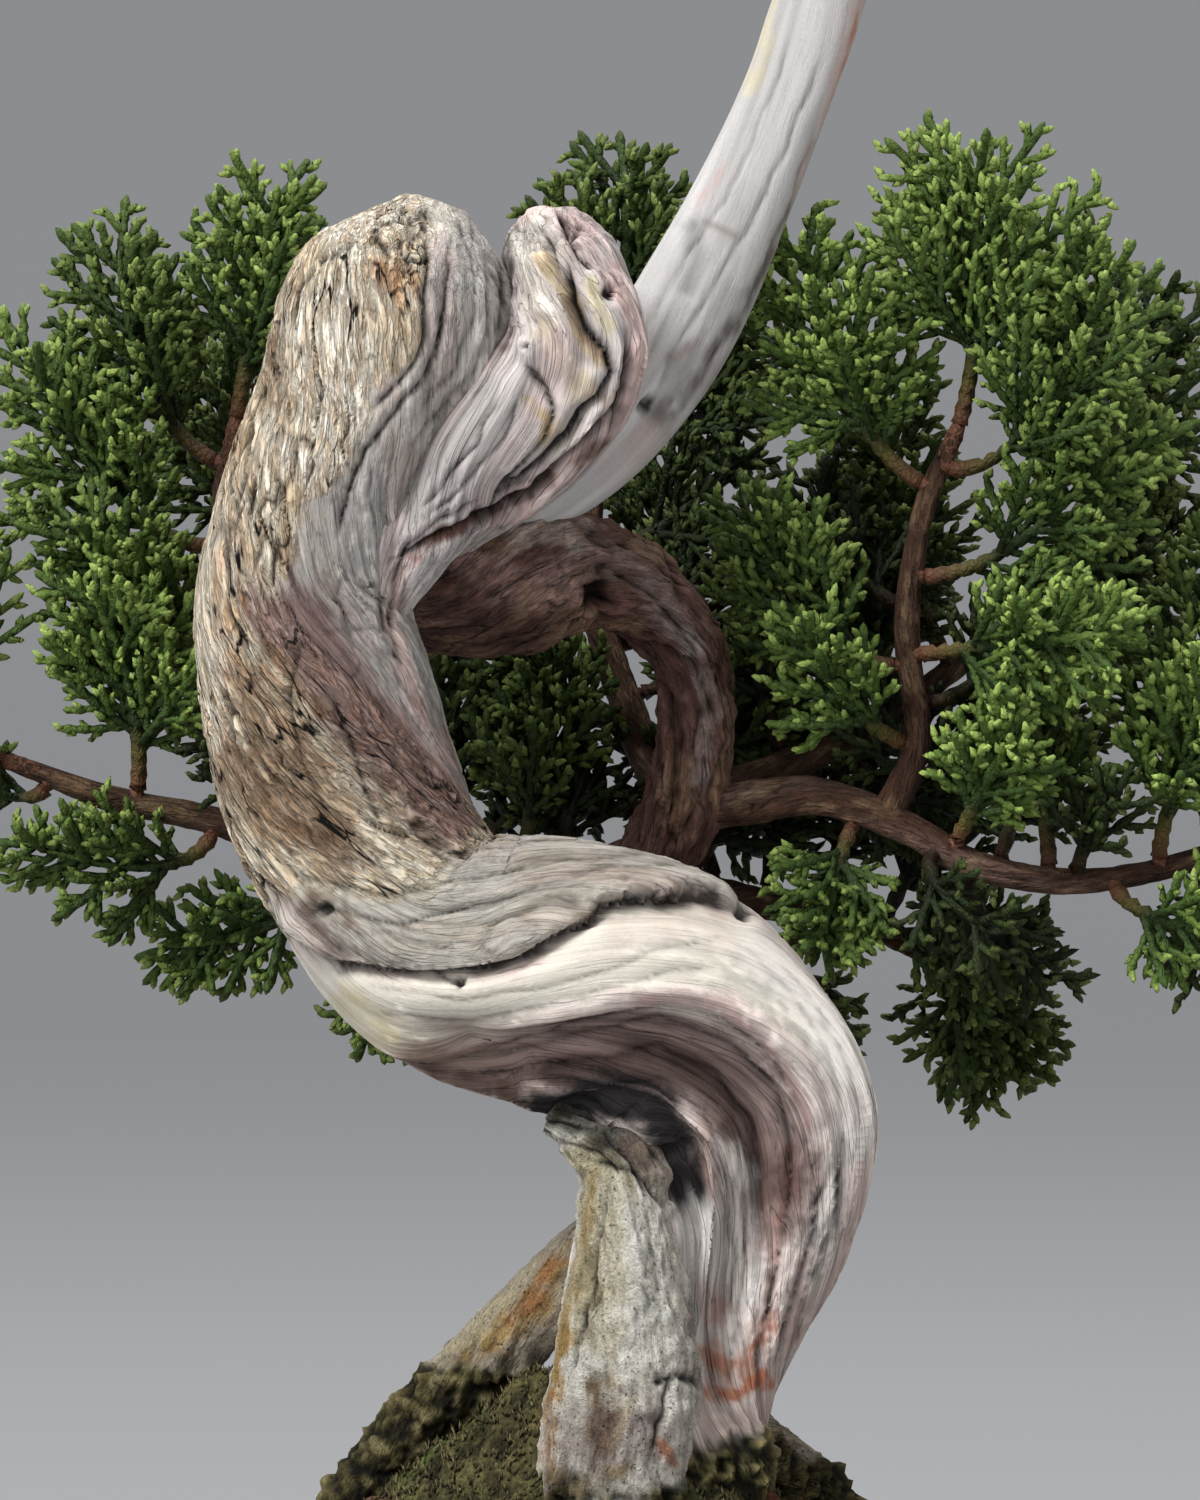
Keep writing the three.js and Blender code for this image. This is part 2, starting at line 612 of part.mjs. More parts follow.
// The plain hole that the foot of the tree stands in: a ring of straight walls just outside the wood.
function footHole() {
  const { columns, levels } = FOOT_HOLE;
  const from = [TREE_AT[0] + 1.5, TREE_AT[1] - 1];
  const points = [];
  for (const stations of [TRUNK, LIVE_VEIN]) {
    const vertices = strand(stations, 24, 54, { furrow: 0.05, furrows: 4 }).getMesh().vertProperties;
    for (let i = 0; i < vertices.length; i += 3) points.push([...vertices.slice(i, i + 3)]);
  }
  const reachAt = (level, k) => {
    const angle = (2 * Math.PI * k) / columns;
    let reach = 0;
    for (const [x, y, z] of points) {
      if (Math.abs(z - level) > FOOT_HOLE.slab) continue;
      reach = Math.max(reach, (x - from[0]) * Math.cos(angle) + (y - from[1]) * Math.sin(angle));
    }
    return reach + FOOT_HOLE.room;
  };
  return latticeSolid(columns, levels.length + 2, (i, j) => {
    if (j === 0) return new THREE.Vector3(from[0], from[1], levels[0]);
    if (j > levels.length) return new THREE.Vector3(from[0], from[1], levels[levels.length - 1]);
    const level = levels[j - 1];
    const [near, next] = [reachAt(level, i), reachAt(level, i + 1)];
    const angle = (2 * Math.PI * i) / columns;
    const step = (2 * Math.PI) / columns;
    const sideways = (next - near * Math.cos(step)) / Math.sin(step);
    const x = from[0] + near * Math.cos(angle) - sideways * Math.sin(angle);
    const y = from[1] + near * Math.sin(angle) + sideways * Math.cos(angle);
    return new THREE.Vector3(x, y, level);
  });
}

// The nearest distance between two straight stretches a-b and c-d.
function stretchGap(a, b, c, d) {
  const u = b.clone().sub(a);
  const v = d.clone().sub(c);
  const w = a.clone().sub(c);
  const [uu, uv, vv, uw, vw] = [u.dot(u), u.dot(v), v.dot(v), u.dot(w), v.dot(w)];
  const below = uu * vv - uv * uv;
  let s = below > 1e-9 ? THREE.MathUtils.clamp((uv * vw - vv * uw) / below, 0, 1) : 0;
  const t = THREE.MathUtils.clamp((uv * s + vw) / vv, 0, 1);
  s = THREE.MathUtils.clamp((uv * t - uw) / uu, 0, 1);
  return w.addScaledVector(u, s).addScaledVector(v, -t).length();
}

// Where things already are, so that a cord that would cross another spray or the wood isn't grown.
const WOOD_SWELL = 1.09; // how far the furrows' ridges stand out
const taken = [];
function takeWood(stations) {
  const spine = spineOf(stations);
  const steps = 3 * stations.length;
  for (let i = 0; i < steps; i++) {
    const size = spine.sizeAt((i + 0.5) / steps);
    const radius = Math.max(size.x, size.y) * WOOD_SWELL;
    taken.push({ a: spine.at(i / steps), b: spine.at((i + 1) / steps), radius, owner: stations });
  }
}

// Whether a straight stretch is clear of all that isn't its owner's. It may start close to the branch
// that it grows on.
function isClear(a, b, radius, owner, parentWood) {
  return taken.every((other) => {
    if (other.owner === owner) return true;
    const room = other.owner === parentWood ? CLEARANCE : CLEARANCE + 0.15;
    return stretchGap(a, b, other.a, other.b) > radius + other.radius * 1.05 + room;
  });
}

// A closed surface that cords are pulled out of. A loop lists points anticlockwise as seen from outside.
class Growth {
  constructor() {
    this.points = [];
    this.triangles = [];
  }

  ring(centre, directions, radius) {
    return directions.map((d) => this.points.push(centre.clone().addScaledVector(d, radius)) - 1);
  }

  // Faces from a loop to the next one along a cord. They come back as loops, so they can be pulled out.
  walls(loop, next) {
    return loop.map((a, k) => [a, loop[(k + 1) % loop.length], next[(k + 1) % loop.length], next[k]]);
  }

  close(loop) {
    for (let k = 2; k < loop.length; k++) this.triangles.push(loop[0], loop[k - 1], loop[k]);
  }

  point(loop, tip) {
    const apex = this.points.push(tip.clone()) - 1;
    loop.forEach((a, k) => this.triangles.push(a, loop[(k + 1) % loop.length], apex));
  }

  middle(loop) {
    return loop.reduce((sum, k) => sum.add(this.points[k]), new THREE.Vector3()).divideScalar(loop.length);
  }

  // Directions from a line to the points of a loop, square to the line.
  directionsTo(loop, centre, heading) {
    return loop.map((k) => {
      const d = this.points[k].clone().sub(centre);
      return d.addScaledVector(heading, -d.dot(heading)).normalize();
    });
  }

  solid() {
    const geometry = new THREE.BufferGeometry().setFromPoints(this.points);
    geometry.setIndex(this.triangles);
    return solidFrom(geometry);
  }
}

// A scaly cord with a short side cord on each of two sides, pulled out of one face of a spray's core.
function pullCord(growth, loop, tip, crossing, sideways, clear) {
  const base = growth.middle(loop);
  const heading = tip.clone().sub(base).normalize();
  const length = tip.distanceTo(base);
  let directions = growth.directionsTo(loop, base, heading);
  let last = loop;
  const faces = CORD.rings.map((share, k) => {
    const centre = base.clone().addScaledVector(heading, share * length);
    const next = growth.ring(centre, directions, (CORD.thick / 2) * CORD.swell * (1 - 0.12 * k));
    const walls = growth.walls(last, next);
    last = next;
    return walls;
  });
  growth.point(last, tip);
  faces.forEach((walls, k) => {
    const bearing = k === 0 ? [] : [1, -1].map((turn) => pickWall(growth, walls, sideways, turn));
    walls.forEach((wall, w) => {
      const turn = w === bearing[0] ? 1 : -1;
      const side = sideways.clone().addScaledVector(crossing, 0.35 * (k - 1.5)).multiplyScalar(turn);
      const reach = heading.clone().addScaledVector(side, 0.85).normalize();
      const from = growth.middle(wall);
      const end = from.clone().addScaledVector(reach, CORD.sideShare * length * (1.1 - 0.12 * k));
      if (bearing.includes(w) && clear(from.clone().lerp(end, 0.3), end)) growth.point(wall, end);
      else growth.close(wall);
    });
  });
}

// The face of a cord that looks most to one side, or to the other with a turn of -1.
function pickWall(growth, walls, sideways, turn) {
  let best = 0;
  let bestFacing = -Infinity;
  walls.forEach((wall, w) => {
    const [a, b, c] = wall.map((k) => growth.points[k]);
    const facing = b.clone().sub(a).cross(c.clone().sub(a)).normalize().dot(sideways) * turn;
    if (facing > bestFacing) [best, bestFacing] = [w, facing];
  });
  return best;
}

// One leafy spray: a core that leaves the branch squarely and bends towards its tip, with cords beside it.
class Spray {
  constructor([stations, along, reach, halfWidth], number) {
    Object.assign(this, { stations, halfWidth, number, owner: `spray ${number}`, growth: new Growth() });
    this.draw = drawsFrom(SPRAY.seed + number);
    const spine = spineOf(stations);
    const t = spine.evenly(along);
    const root = spine.at(t);
    const tangent = spine.along(t);
    const goal = new THREE.Vector3(...reach);
    const ends = along === 1;
    const out = ends ? tangent : goal.clone().normalize().projectOnPlane(tangent).normalize();
    const offset = ends ? 0 : Math.max(...spine.sizeAt(t).toArray());
    const start = root.clone().addScaledVector(out, offset + CLEARANCE);
    const bend = start.clone().addScaledVector(out, 0.3 * goal.length()).addScaledVector(goal, 0.12);
    this.axis = new THREE.QuadraticBezierCurve3(start, bend, root.clone().add(goal));
    this.hinge = new THREE.Vector3().crossVectors(goal, new THREE.Vector3(0.2, 1, 0.3)).normalize();
    this.places = [{ share: 0, turn: 0, bears: false }];
    const socket = SPRAY.socket / this.axis.getLength();
    for (let level = 0; level < SPRAY.levels; level++) {
      const share = SPRAY.firstAt + ((SPRAY.lastAt - SPRAY.firstAt) * level) / (SPRAY.levels - 1);
      const turn = 0.45 * Math.sin(2.1 * level + number);
      this.places.push({ share, turn, bears: false }, { share: share + socket, turn, bears: true });
    }
    this.takeCore();
  }

  radiusAt(share) {
    return THREE.MathUtils.lerp(SPRAY.rootRadius, SPRAY.endRadius, share);
  }

  // Fills the room of the core, before any spray grows its cords.
  takeCore() {
    const shares = [...this.places.map((place) => place.share), 1];
    for (let i = 1; i < shares.length; i++) {
      const [a, b] = [this.axis.getPointAt(shares[i - 1]), this.axis.getPointAt(shares[i])];
      taken.push({ a, b, radius: this.radiusAt(shares[i - 1]) * 1.2, owner: this.owner });
    }
  }

  frameAt(share) {
    const heading = this.axis.getTangentAt(share);
    const across = this.hinge.clone().projectOnPlane(heading).normalize();
    return { heading, across, through: heading.clone().cross(across) };
  }

  // A square section of the core, turned a little from level to level.
  sectionAt({ share, turn }) {
    const { across, through } = this.frameAt(share);
    const directions = [1, 3, 5, 7].map((eighth) => {
      const angle = turn + (Math.PI / 4) * eighth;
      return across.clone().multiplyScalar(Math.cos(angle)).addScaledVector(through, Math.sin(angle));
    });
    return this.growth.ring(this.axis.getPointAt(share), directions, this.radiusAt(share) * 1.2);
  }

  // The whole spray as one solid.
  solid() {
    let last = this.sectionAt(this.places[0]);
    this.growth.close([...last].reverse());
    const sockets = [];
    for (const place of this.places.slice(1)) {
      const next = this.sectionAt(place);
      this.growth.walls(last, next).forEach((wall, k) => {
        if (place.bears && k % 2) sockets.push({ ...place, wall, sign: k === 3 ? 1 : -1 });
        else this.growth.close(wall);
      });
      last = next;
    }
    this.growth.point(last, this.axis.getPointAt(1));
    this.own = [];
    sockets.forEach((socket) => this.growCord(socket));
    return this.growth.solid();
  }

  // Whether a cord fits between everything else, and between the other cords of its own spray.
  fits(a, b) {
    const apart = (other) => stretchGap(a, b, other.a, other.b) > CORD.thick * 0.85;
    return isClear(a, b, CORD.thick / 2, this.owner, this.stations) && this.own.every(apart);
  }

  take(a, b) {
    taken.push({ a, b, radius: CORD.thick / 2, owner: this.owner });
    this.own.push({ a, b });
  }

  // A cord out of one socket, left out where it would cross something.
  growCord({ wall, share, turn, sign }) {
    const { heading, across, through } = this.frameAt(share);
    const tilt = turn + (this.draw() - 0.5) * 0.7;
    const outwards = across.multiplyScalar(sign * Math.cos(tilt));
    outwards.addScaledVector(through, sign * Math.sin(tilt));
    const spread = 0.75 + 0.2 * this.draw();
    const ahead = heading.multiplyScalar(0.8).addScaledVector(outwards, spread).normalize();
    const length = this.halfWidth * (1.3 - 0.75 * share) * (0.85 + 0.3 * this.draw());
    const from = this.growth.middle(wall);
    const end = from.clone().addScaledVector(ahead, length);
    if (!this.fits(from.clone().lerp(end, 0.25), end)) {
      this.growth.close(wall);
      return;
    }
    const sideways = ahead.clone().cross(through).normalize();
    pullCord(this.growth, wall, end, through, sideways, (a, b) => {
      const free = this.fits(a, b);
      if (free) this.take(a, b);
      return free;
    });
    this.take(from, end);
  }
}

const MATERIALS = {
  wood: new THREE.MeshStandardMaterial({ color: 0xc9bfb0, roughness: 0.85, metalness: 0 }),
  foliage: new THREE.MeshStandardMaterial({ color: 0x4f7434, roughness: 0.7, metalness: 0 }),
  pot: new THREE.MeshStandardMaterial({ color: 0x5b463b, roughness: 0.8, metalness: 0 }),
  soil: new THREE.MeshStandardMaterial({ color: 0x6b5342, roughness: 1, metalness: 0 }),
  screen: new THREE.MeshStandardMaterial({ color: 0x22262a, roughness: 0.6, metalness: 0 }),
};

const bonsai = new THREE.Group();
const hollow = footHole().add(bareRoots(CLEARANCE));
bonsai.add(meshOf("pot", potSolid(), MATERIALS.pot));
bonsai.add(meshOf("drain_screen_left", screenSolid(-POT.drainAt), MATERIALS.screen));
bonsai.add(meshOf("drain_screen_right", screenSolid(POT.drainAt), MATERIALS.screen));
bonsai.add(meshOf("soil", soilSolid(hollow), MATERIALS.soil));
bonsai.add(meshOf("tree_wood", wood(), MATERIALS.wood));
const STEMS = [TRUNK, HOOK, SPIKE, SPIKE_FORK, LIVE_BRANCH, RIGHT_BRANCH, RIGHT_LEADER, RIGHT_BACK];
STEMS.push(LEFT_BRANCH, LEFT_LEADER, LEFT_BACK, APEX_BRANCH, LOW_BRANCH);
STEMS.forEach(takeWood);
const sprays = SPRAYS.map((row, i) => new Spray(row, i + 1));
for (const spray of sprays) {
  const name = `spray_${String(spray.number).padStart(2, "0")}`;
  bonsai.add(meshOf(name, spray.solid(), MATERIALS.foliage));
}

export default bonsai;
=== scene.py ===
"""Looks of a small juniper bonsai: bleached trunk, living bark, dead spike, scaly sprays, mossy soil and pot.

Lengths in the tables are millimetres, and the tree's stations are measured from its foot. Lines drawn on the
front of the wood are measured on the camera's frame of 1200 by 1500, x to the right and y down from its top left
corner, where a millimetre at the trunk is about 10.
"""

import logging
import math
from collections.abc import Iterator, Sequence
from dataclasses import dataclass, field
from enum import Enum
from typing import Any, NamedTuple

import bpy
import numpy as np
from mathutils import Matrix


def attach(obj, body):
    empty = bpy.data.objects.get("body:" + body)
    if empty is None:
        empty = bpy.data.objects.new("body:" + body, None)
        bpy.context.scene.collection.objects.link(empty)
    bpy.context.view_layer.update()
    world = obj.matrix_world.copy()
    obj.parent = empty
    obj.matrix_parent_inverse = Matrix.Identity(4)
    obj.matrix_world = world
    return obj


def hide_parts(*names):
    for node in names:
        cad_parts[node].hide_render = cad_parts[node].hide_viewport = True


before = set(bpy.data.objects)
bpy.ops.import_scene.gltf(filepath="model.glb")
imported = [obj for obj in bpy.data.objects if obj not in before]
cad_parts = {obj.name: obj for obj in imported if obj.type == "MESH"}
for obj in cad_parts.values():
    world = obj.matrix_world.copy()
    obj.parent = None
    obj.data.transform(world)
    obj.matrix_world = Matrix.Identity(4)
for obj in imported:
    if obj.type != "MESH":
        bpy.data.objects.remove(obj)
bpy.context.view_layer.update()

LOG = logging.getLogger("bonsai")
Array = np.ndarray
Piece = bpy.types.Object
Material = bpy.types.Material
Station = tuple[float, float, float, float, float]
Line = Sequence[tuple[float, float]]

MM = 0.001
TREE_AT = np.array([0.0, -9.0, 0.0])
VIEWER = np.array([0.0, -1.0, 0.0])
BODY = "root"

# The camera: its distance from the tree, the point it looks at, and the height and parts of the frame there.
VIEW_DISTANCE = 900.0
AIM = (-4.0, 113.0)
FRAME_HEIGHT = 150.0
FRAME = (1200, 1500)
SENSOR = 36

# Screen values become light by this curve: a straight foot, then a power.
SCREEN_FOOT, SCREEN_SLOPE, SCREEN_OFFSET, SCREEN_POWER = 0.04045, 12.92, 0.055, 2.4

# Odd numbers that stir the bits of a hash, and the largest hash.
STIR = np.array([374761393, 668265263, 2246822519, 1274126177, 2654435761], np.uint32)
SEED_STRIDE = 40503
LARGEST = 4294967295
OCTAVE_SHIFT = 17.3


class Tint(Enum):
    """Colours of the real surfaces, as screen values; some also serve as painted shade and highlight, and one
    black is painted shade alone.
    """

    # Pale bark; also painted as a highlight on the first lobe's top.
    BARK_PALE = (224, 217, 203)
    BARK_BEIGE = (212, 202, 182)
    BARK_TAN = (182, 156, 120)
    CRACK = (122, 94, 66)
    STAIN_TAN = (178, 134, 92)
    BARK_BROWN = (138, 114, 88)
    BARK_PURPLE = (124, 98, 94)
    ASH = (178, 175, 171)
    LIP_GREY = (185, 181, 172)
    CREAM = (231, 225, 211)
    CREAM_YELLOW = (222, 210, 170)
    PINK_GREY = (224, 211, 203)
    PINK = (206, 172, 165)
    BONE = (228, 224, 219)
    MAUVE = (138, 114, 109)
    # Dark mauve wood; also painted as shade in the groove beside the folded lobe, along the spike's shaded edge
    # and deepest in the hollow under the bend.
    MAUVE_DARK = (88, 68, 63)
    UMBER = (92, 68, 56)
    STREAK = (134, 88, 74)
    RUST = (186, 108, 66)
    OCHRE = (196, 162, 96)
    # Black painted into hollows where parts meet, as their shade.
    CHAR = (44, 41, 42)
    LICHEN = (250, 247, 235)
    SPIKE_GREY = (200, 197, 195)
    LILAC = (200, 191, 188)
    RED_BARK = (100, 72, 66)
    RED_DARK = (64, 42, 38)
    TWIG = (104, 68, 50)
    # Twig bark painted darker, as the shade inside the crown.
    TWIG_DARK = (80, 57, 46)
    TWIG_GREEN = (84, 78, 38)
    LEAF_DEEP = (38, 52, 24)
    LEAF = (62, 84, 36)
    LEAF_FRESH = (92, 114, 48)
    LEAF_TIP = (152, 174, 92)
    MOSS_DARK = (42, 38, 24)
    MOSS = (92, 86, 54)
    MOSS_TIP = (148, 138, 98)
    MOSS_GREEN = (84, 96, 50)
    SOIL_DARK = (58, 42, 34)
    SOIL_RED = (122, 76, 58)
    SOIL_TAN = (150, 122, 96)

    @property
    def linear(self) -> Array:
        """The colour as light, from 0 to 1."""
        shade = np.array(self.value) / 255
        curve = ((shade + SCREEN_OFFSET) / (1 + SCREEN_OFFSET)) ** SCREEN_POWER
        return np.where(shade <= SCREEN_FOOT, shade / SCREEN_SLOPE, curve)


def smooth(value: Array, low: float, high: float) -> Array:
    """A smooth step from 0 at low to 1 at high, where low may be the larger number."""
    t = np.clip((value - low) / (high - low), 0, 1)
    return t * t * (3 - 2 * t)


def unit(vectors: Array) -> Array:
    """Vectors scaled to length 1."""
    return vectors / np.linalg.norm(vectors, axis=-1, keepdims=True)


def between(first: Array, second: Array, share: Array) -> Array:
    """What lies a share of the way from the first to the second."""
    return first + (second - first) * share


def turned(x: Array, y: Array, angle: Array) -> tuple[Array, Array]:
    """Two coordinates turned round their origin."""
    return x * np.cos(angle) - y * np.sin(angle), x * np.sin(angle) + y * np.cos(angle)


def ramped(values: Array, stops: Sequence[float], tints: Sequence[Tint]) -> Array:
    """Colours on a ramp that has a tint at each stop."""
    ramp = np.array([tint.linear for tint in tints])
    return np.stack([np.interp(values, stops, ramp[:, k]) for k in range(3)], axis=-1)


def toned(tone: Array, fourth: Any = 1.0) -> Array:
    """Colours with a fourth number on each point."""
    return np.concatenate([tone, np.broadcast_to(fourth, tone.shape[:-1])[..., None]], axis=-1)


def hashed(cell: Array, seed: int) -> Array:
    """One repeatable number for each whole-numbered cell.

    Args:
        cell: Cells, with their three numbers last.
        seed: Which of many such fields.

    Returns:
        Numbers from 0 to 1.
    """
    c = cell.astype(np.int64).astype(np.uint32)
    h = c[..., 0] * STIR[0] + c[..., 1] * STIR[1] + c[..., 2] * STIR[2] + np.uint32(seed * SEED_STRIDE + 7)
    h = (h ^ (h >> np.uint32(13))) * STIR[3]
    h = (h ^ (h >> np.uint32(15))) * STIR[4]
    return (h ^ (h >> np.uint32(16))) / LARGEST


def noise(points: Array, seed: int, octaves: int = 1) -> Array:
    """Smooth noise with finer layers on top.

    Args:
        points: Places, one unit apart where the coarsest bumps are.
        seed: Which field.
        octaves: How many layers, each half as large as the last.

    Returns:
        Numbers round 0.5.
    """
    total = np.zeros(points.shape[:-1])
    weight, whole = 1.0, 0.0
    for octave in range(octaves):
        at = points * 2**octave + OCTAVE_SHIFT * octave
        base = np.floor(at)
        f = at - base
        f = f * f * (3 - 2 * f)
        for corner in np.ndindex(2, 2, 2):
            share = np.prod(np.where(corner, f, 1 - f), axis=-1)
            total += weight * share * hashed(base + corner, seed + octave)
        whole += weight
        weight *= 0.5
    return total / whole


def plates(points: Array, seed: int) -> tuple[Array, Array]:
    """Irregular plates with cracks between them.

    Args:
        points: Places, one unit apart where neighbouring plates are.
        seed: Which field.

    Returns:
        How far each point is from the nearest crack, and a number for its plate.
    """
    base = np.floor(points)
    near = np.full(points.shape[:-1], 9.0)
    second = near.copy()
    plate = np.zeros_like(near)
    for corner in np.ndindex(3, 3, 3):
        cell = base + corner - 1
        jitter = np.stack([hashed(cell, seed + k) for k in (1, 2, 3)], axis=-1)
        gap = np.linalg.norm(cell + jitter - points, axis=-1)
        closer = gap < near
        second = np.where(closer, near, np.minimum(second, gap))
        plate = np.where(closer, hashed(cell, seed + 4), plate)
        near = np.where(closer, gap, near)
    return second - near, plate


def draws_from(seed: int) -> Iterator[float]:
    """A repeatable stream of numbers from 0 to 1, the same as the part's source draws."""
    factor, step, top = 1664525, 1013904223, LARGEST + 1
    state = seed
    while True:
        state = (state * factor + step) % top
        yield state / top


def beside(line: Line, x: Array, y: Array) -> tuple[Array, Array, Array]:
    """Where places lie beside a drawn line.

    Args:
        line: The line's points.
        x: Places across the front view.
        y: Places down the front view.

    Returns:
        The distance, the share of the line passed, and the distance below it if it runs to the right.
    """
    points = np.array(line, float)
    steps = np.hypot(*np.diff(points, axis=0).T)
    nearest, share, below = np.full(x.shape, 1e9), np.zeros(x.shape), np.zeros(x.shape)
    passed = 0.0
    for (ax, ay), (bx, by), step in zip(points[:-1], points[1:], steps):
        ux, uy = (bx - ax) / step, (by - ay) / step
        along = np.clip((x - ax) * ux + (y - ay) * uy, 0, step)
        dx, dy = x - ax - along * ux, y - ay - along * uy
        gap = np.hypot(dx, dy)
        closer = gap < nearest
        nearest = np.where(closer, gap, nearest)
        share = np.where(closer, (passed + along) / steps.sum(), share)
        below = np.where(closer, ux * dy - uy * dx, below)
        passed += step
    return nearest, share, below


def within(outline: Line, x: Array, y: Array, blur: float) -> Array:
    """How far inside a drawn outline places lie.

    Args:
        outline: The outline's corners.
        x: Places across the front view.
        y: Places down the front view.
        blur: Half the width of its soft edge.

    Returns:
        1 well inside and 0 well outside.
    """
    closed = list(outline) + [outline[0]]
    inside = np.zeros(x.shape, bool)
    for (ax, ay), (bx, by) in zip(closed[:-1], closed[1:]):
        if ay == by:
            continue
        crosses = (ay > y) != (by > y)
        inside ^= crosses & (x < (bx - ax) * (y - ay) / (by - ay) + ax)
    gap = beside(closed, x, y)[0]
    return smooth(np.where(inside, gap, -gap), -blur, blur)


# Shaders


class Socket:
    """An output of a shader tree that takes part in sums with numbers and other outputs."""

    def __init__(self, tree: bpy.types.NodeTree, output: bpy.types.NodeSocket) -> None:
        """Wraps an output of a tree."""
        self.tree = tree
        self.output = output

    def sum(self, operation: str, first: Any, second: Any) -> "Socket":
        """Adds a Math node.

        Args:
            operation: The Math node's operation.
            first: Its first number or socket.
            second: Its second number or socket.

        Returns:
            The node's result.
        """
        made = self.tree.nodes.new("ShaderNodeMath")
        made.operation = operation
        for slot, value in zip(made.inputs, (first, second)):
            if isinstance(value, Socket):
                self.tree.links.new(value.output, slot)
            else:
                slot.default_value = value
        return Socket(self.tree, made.outputs[0])

    def __add__(self, other: Any) -> "Socket":
        """Adds."""
        return self.sum("ADD", self, other)

    __radd__ = __add__

    def __mul__(self, other: Any) -> "Socket":
        """Multiplies."""
        return self.sum("MULTIPLY", self, other)

    __rmul__ = __mul__

    def __sub__(self, other: Any) -> "Socket":
        """Takes away."""
        return self.sum("SUBTRACT", self, other)

    def __rsub__(self, other: Any) -> "Socket":
        """Is taken away from a number."""
        return self.sum("SUBTRACT", other, self)

    def __abs__(self) -> "Socket":
        """Loses its sign."""
        return self.sum("ABSOLUTE", self, 0.0)


class Recipe:
    """A material with one main shader, and what its nodes are made with."""

    def __init__(self, name: str) -> None:
        """Starts a material of that name."""
        self.material = bpy.data.materials.new(name)
        self.material.use_nodes = True
        self.tree = self.material.node_tree
        self.shader = self.tree.nodes["Principled BSDF"]

    def node(self, kind: str, settings: dict[str, Any], inputs: dict[Any, Any], output: Any = 0) -> Socket:
        """Adds any node.

        Args:
            kind: The node's type, without its prefix.
            settings: What is set on the node before its sockets.
            inputs: Values or sockets for its inputs, by name or number.
            output: Which output is wanted.

        Returns:
            That output.
        """
        made = self.tree.nodes.new("ShaderNode" + kind)
        for key, value in settings.items():
            setattr(made, key, value)
        for key, value in inputs.items():
            if isinstance(value, Socket):
                self.tree.links.new(value.output, made.inputs[key])
            else:
                made.inputs[key].default_value = value
        return Socket(self.tree, made.outputs[output])

    def set(self, **inputs: Any) -> None:
        """Sets or links inputs of the main shader, with an underscore for each space in a name."""
        for key, value in inputs.items():
            slot = self.shader.inputs[key.replace("_", " ")]
            if isinstance(value, Socket):
                self.tree.links.new(value.output, slot)
            else:
                slot.default_value = value

    def layer(self, name: str, output: str = "Color") -> Socket:
        """What the mesh stores under a name."""
        return self.node("Attribute", {"attribute_name": name}, {}, output)

    def place(self) -> Socket:
        """Where a point is on the object."""
        return self.node("TexCoord", {}, {}, "Object")

    def stretched(self, vector: Socket, by: Sequence[float]) -> Socket:
        """A vector multiplied along each axis."""
        return self.node("VectorMath", {"operation": "MULTIPLY"}, {0: vector, 1: tuple(by)})

    def along(self, vector: Socket, share: float) -> Socket:
        """A vector drawn out along the grain, so that what is read there gets long."""
        return self.stretched(vector, (1, 1, share))

    def shifted(self, vector: Socket, other: Socket) -> Socket:
        """The sum of two vectors."""
        return self.node("VectorMath", {"operation": "ADD"}, {0: vector, 1: other})

    def speckle(self, vector: Socket, scale: float, detail: float = 3.0, roughness: float = 0.55) -> Socket:
        """Smooth noise round 0.5, with so many bumps in one unit and finer layers on top."""
        return self.node(
            "TexNoise", {}, {"Vector": vector, "Scale": scale, "Detail": detail, "Roughness": roughness}, "Fac"
        )

    def crackle(self, vector: Socket, scale: float) -> Socket:
        """The distance to the nearest edge of irregular cells."""
        return self.node(
            "TexVoronoi", {"feature": "DISTANCE_TO_EDGE"}, {"Vector": vector, "Scale": scale}, "Distance"
        )

    def hairline(self, vector: Socket, scale: float, width: float) -> Socket:
        """1 on thin wandering lines, where smooth noise passes its middle value, and 0 beside them."""
        return self.graded(abs(self.speckle(vector, scale, 1.2, 0.4) - 0.5), 0.0, width, 1.0, 0.0)

    def graded(self, value: Socket, low: float, high: float, start: float = 0.0, end: float = 1.0) -> Socket:
        """A smooth step from start, at low, to end, at high."""
        inputs = {"Value": value, "From Min": low, "From Max": high, "To Min": start, "To Max": end}
        return self.node("MapRange", {"interpolation_type": "SMOOTHSTEP"}, inputs)

    def blend(self, share: Any, first: Any, second: Any, how: str = "MIX") -> Socket:
        """Two colours mixed by a share, in one of the Mix node's ways."""
        return self.node("Mix", {"data_type": "RGBA", "blend_type": how}, {0: share, 6: first, 7: second}, 2)

    def lit(self, colour: Any, light: Any) -> Socket:
        """A colour multiplied by a number or by another colour."""
        return self.blend(1.0, colour, light, "MULTIPLY")

    def bumped(self, height: Socket, strength: float, depth: float) -> None:
        """Gives the main shader a relief, with its depth in metres."""
        self.set(Normal=self.node("Bump", {}, {"Strength": strength, "Distance": depth, "Height": height}))


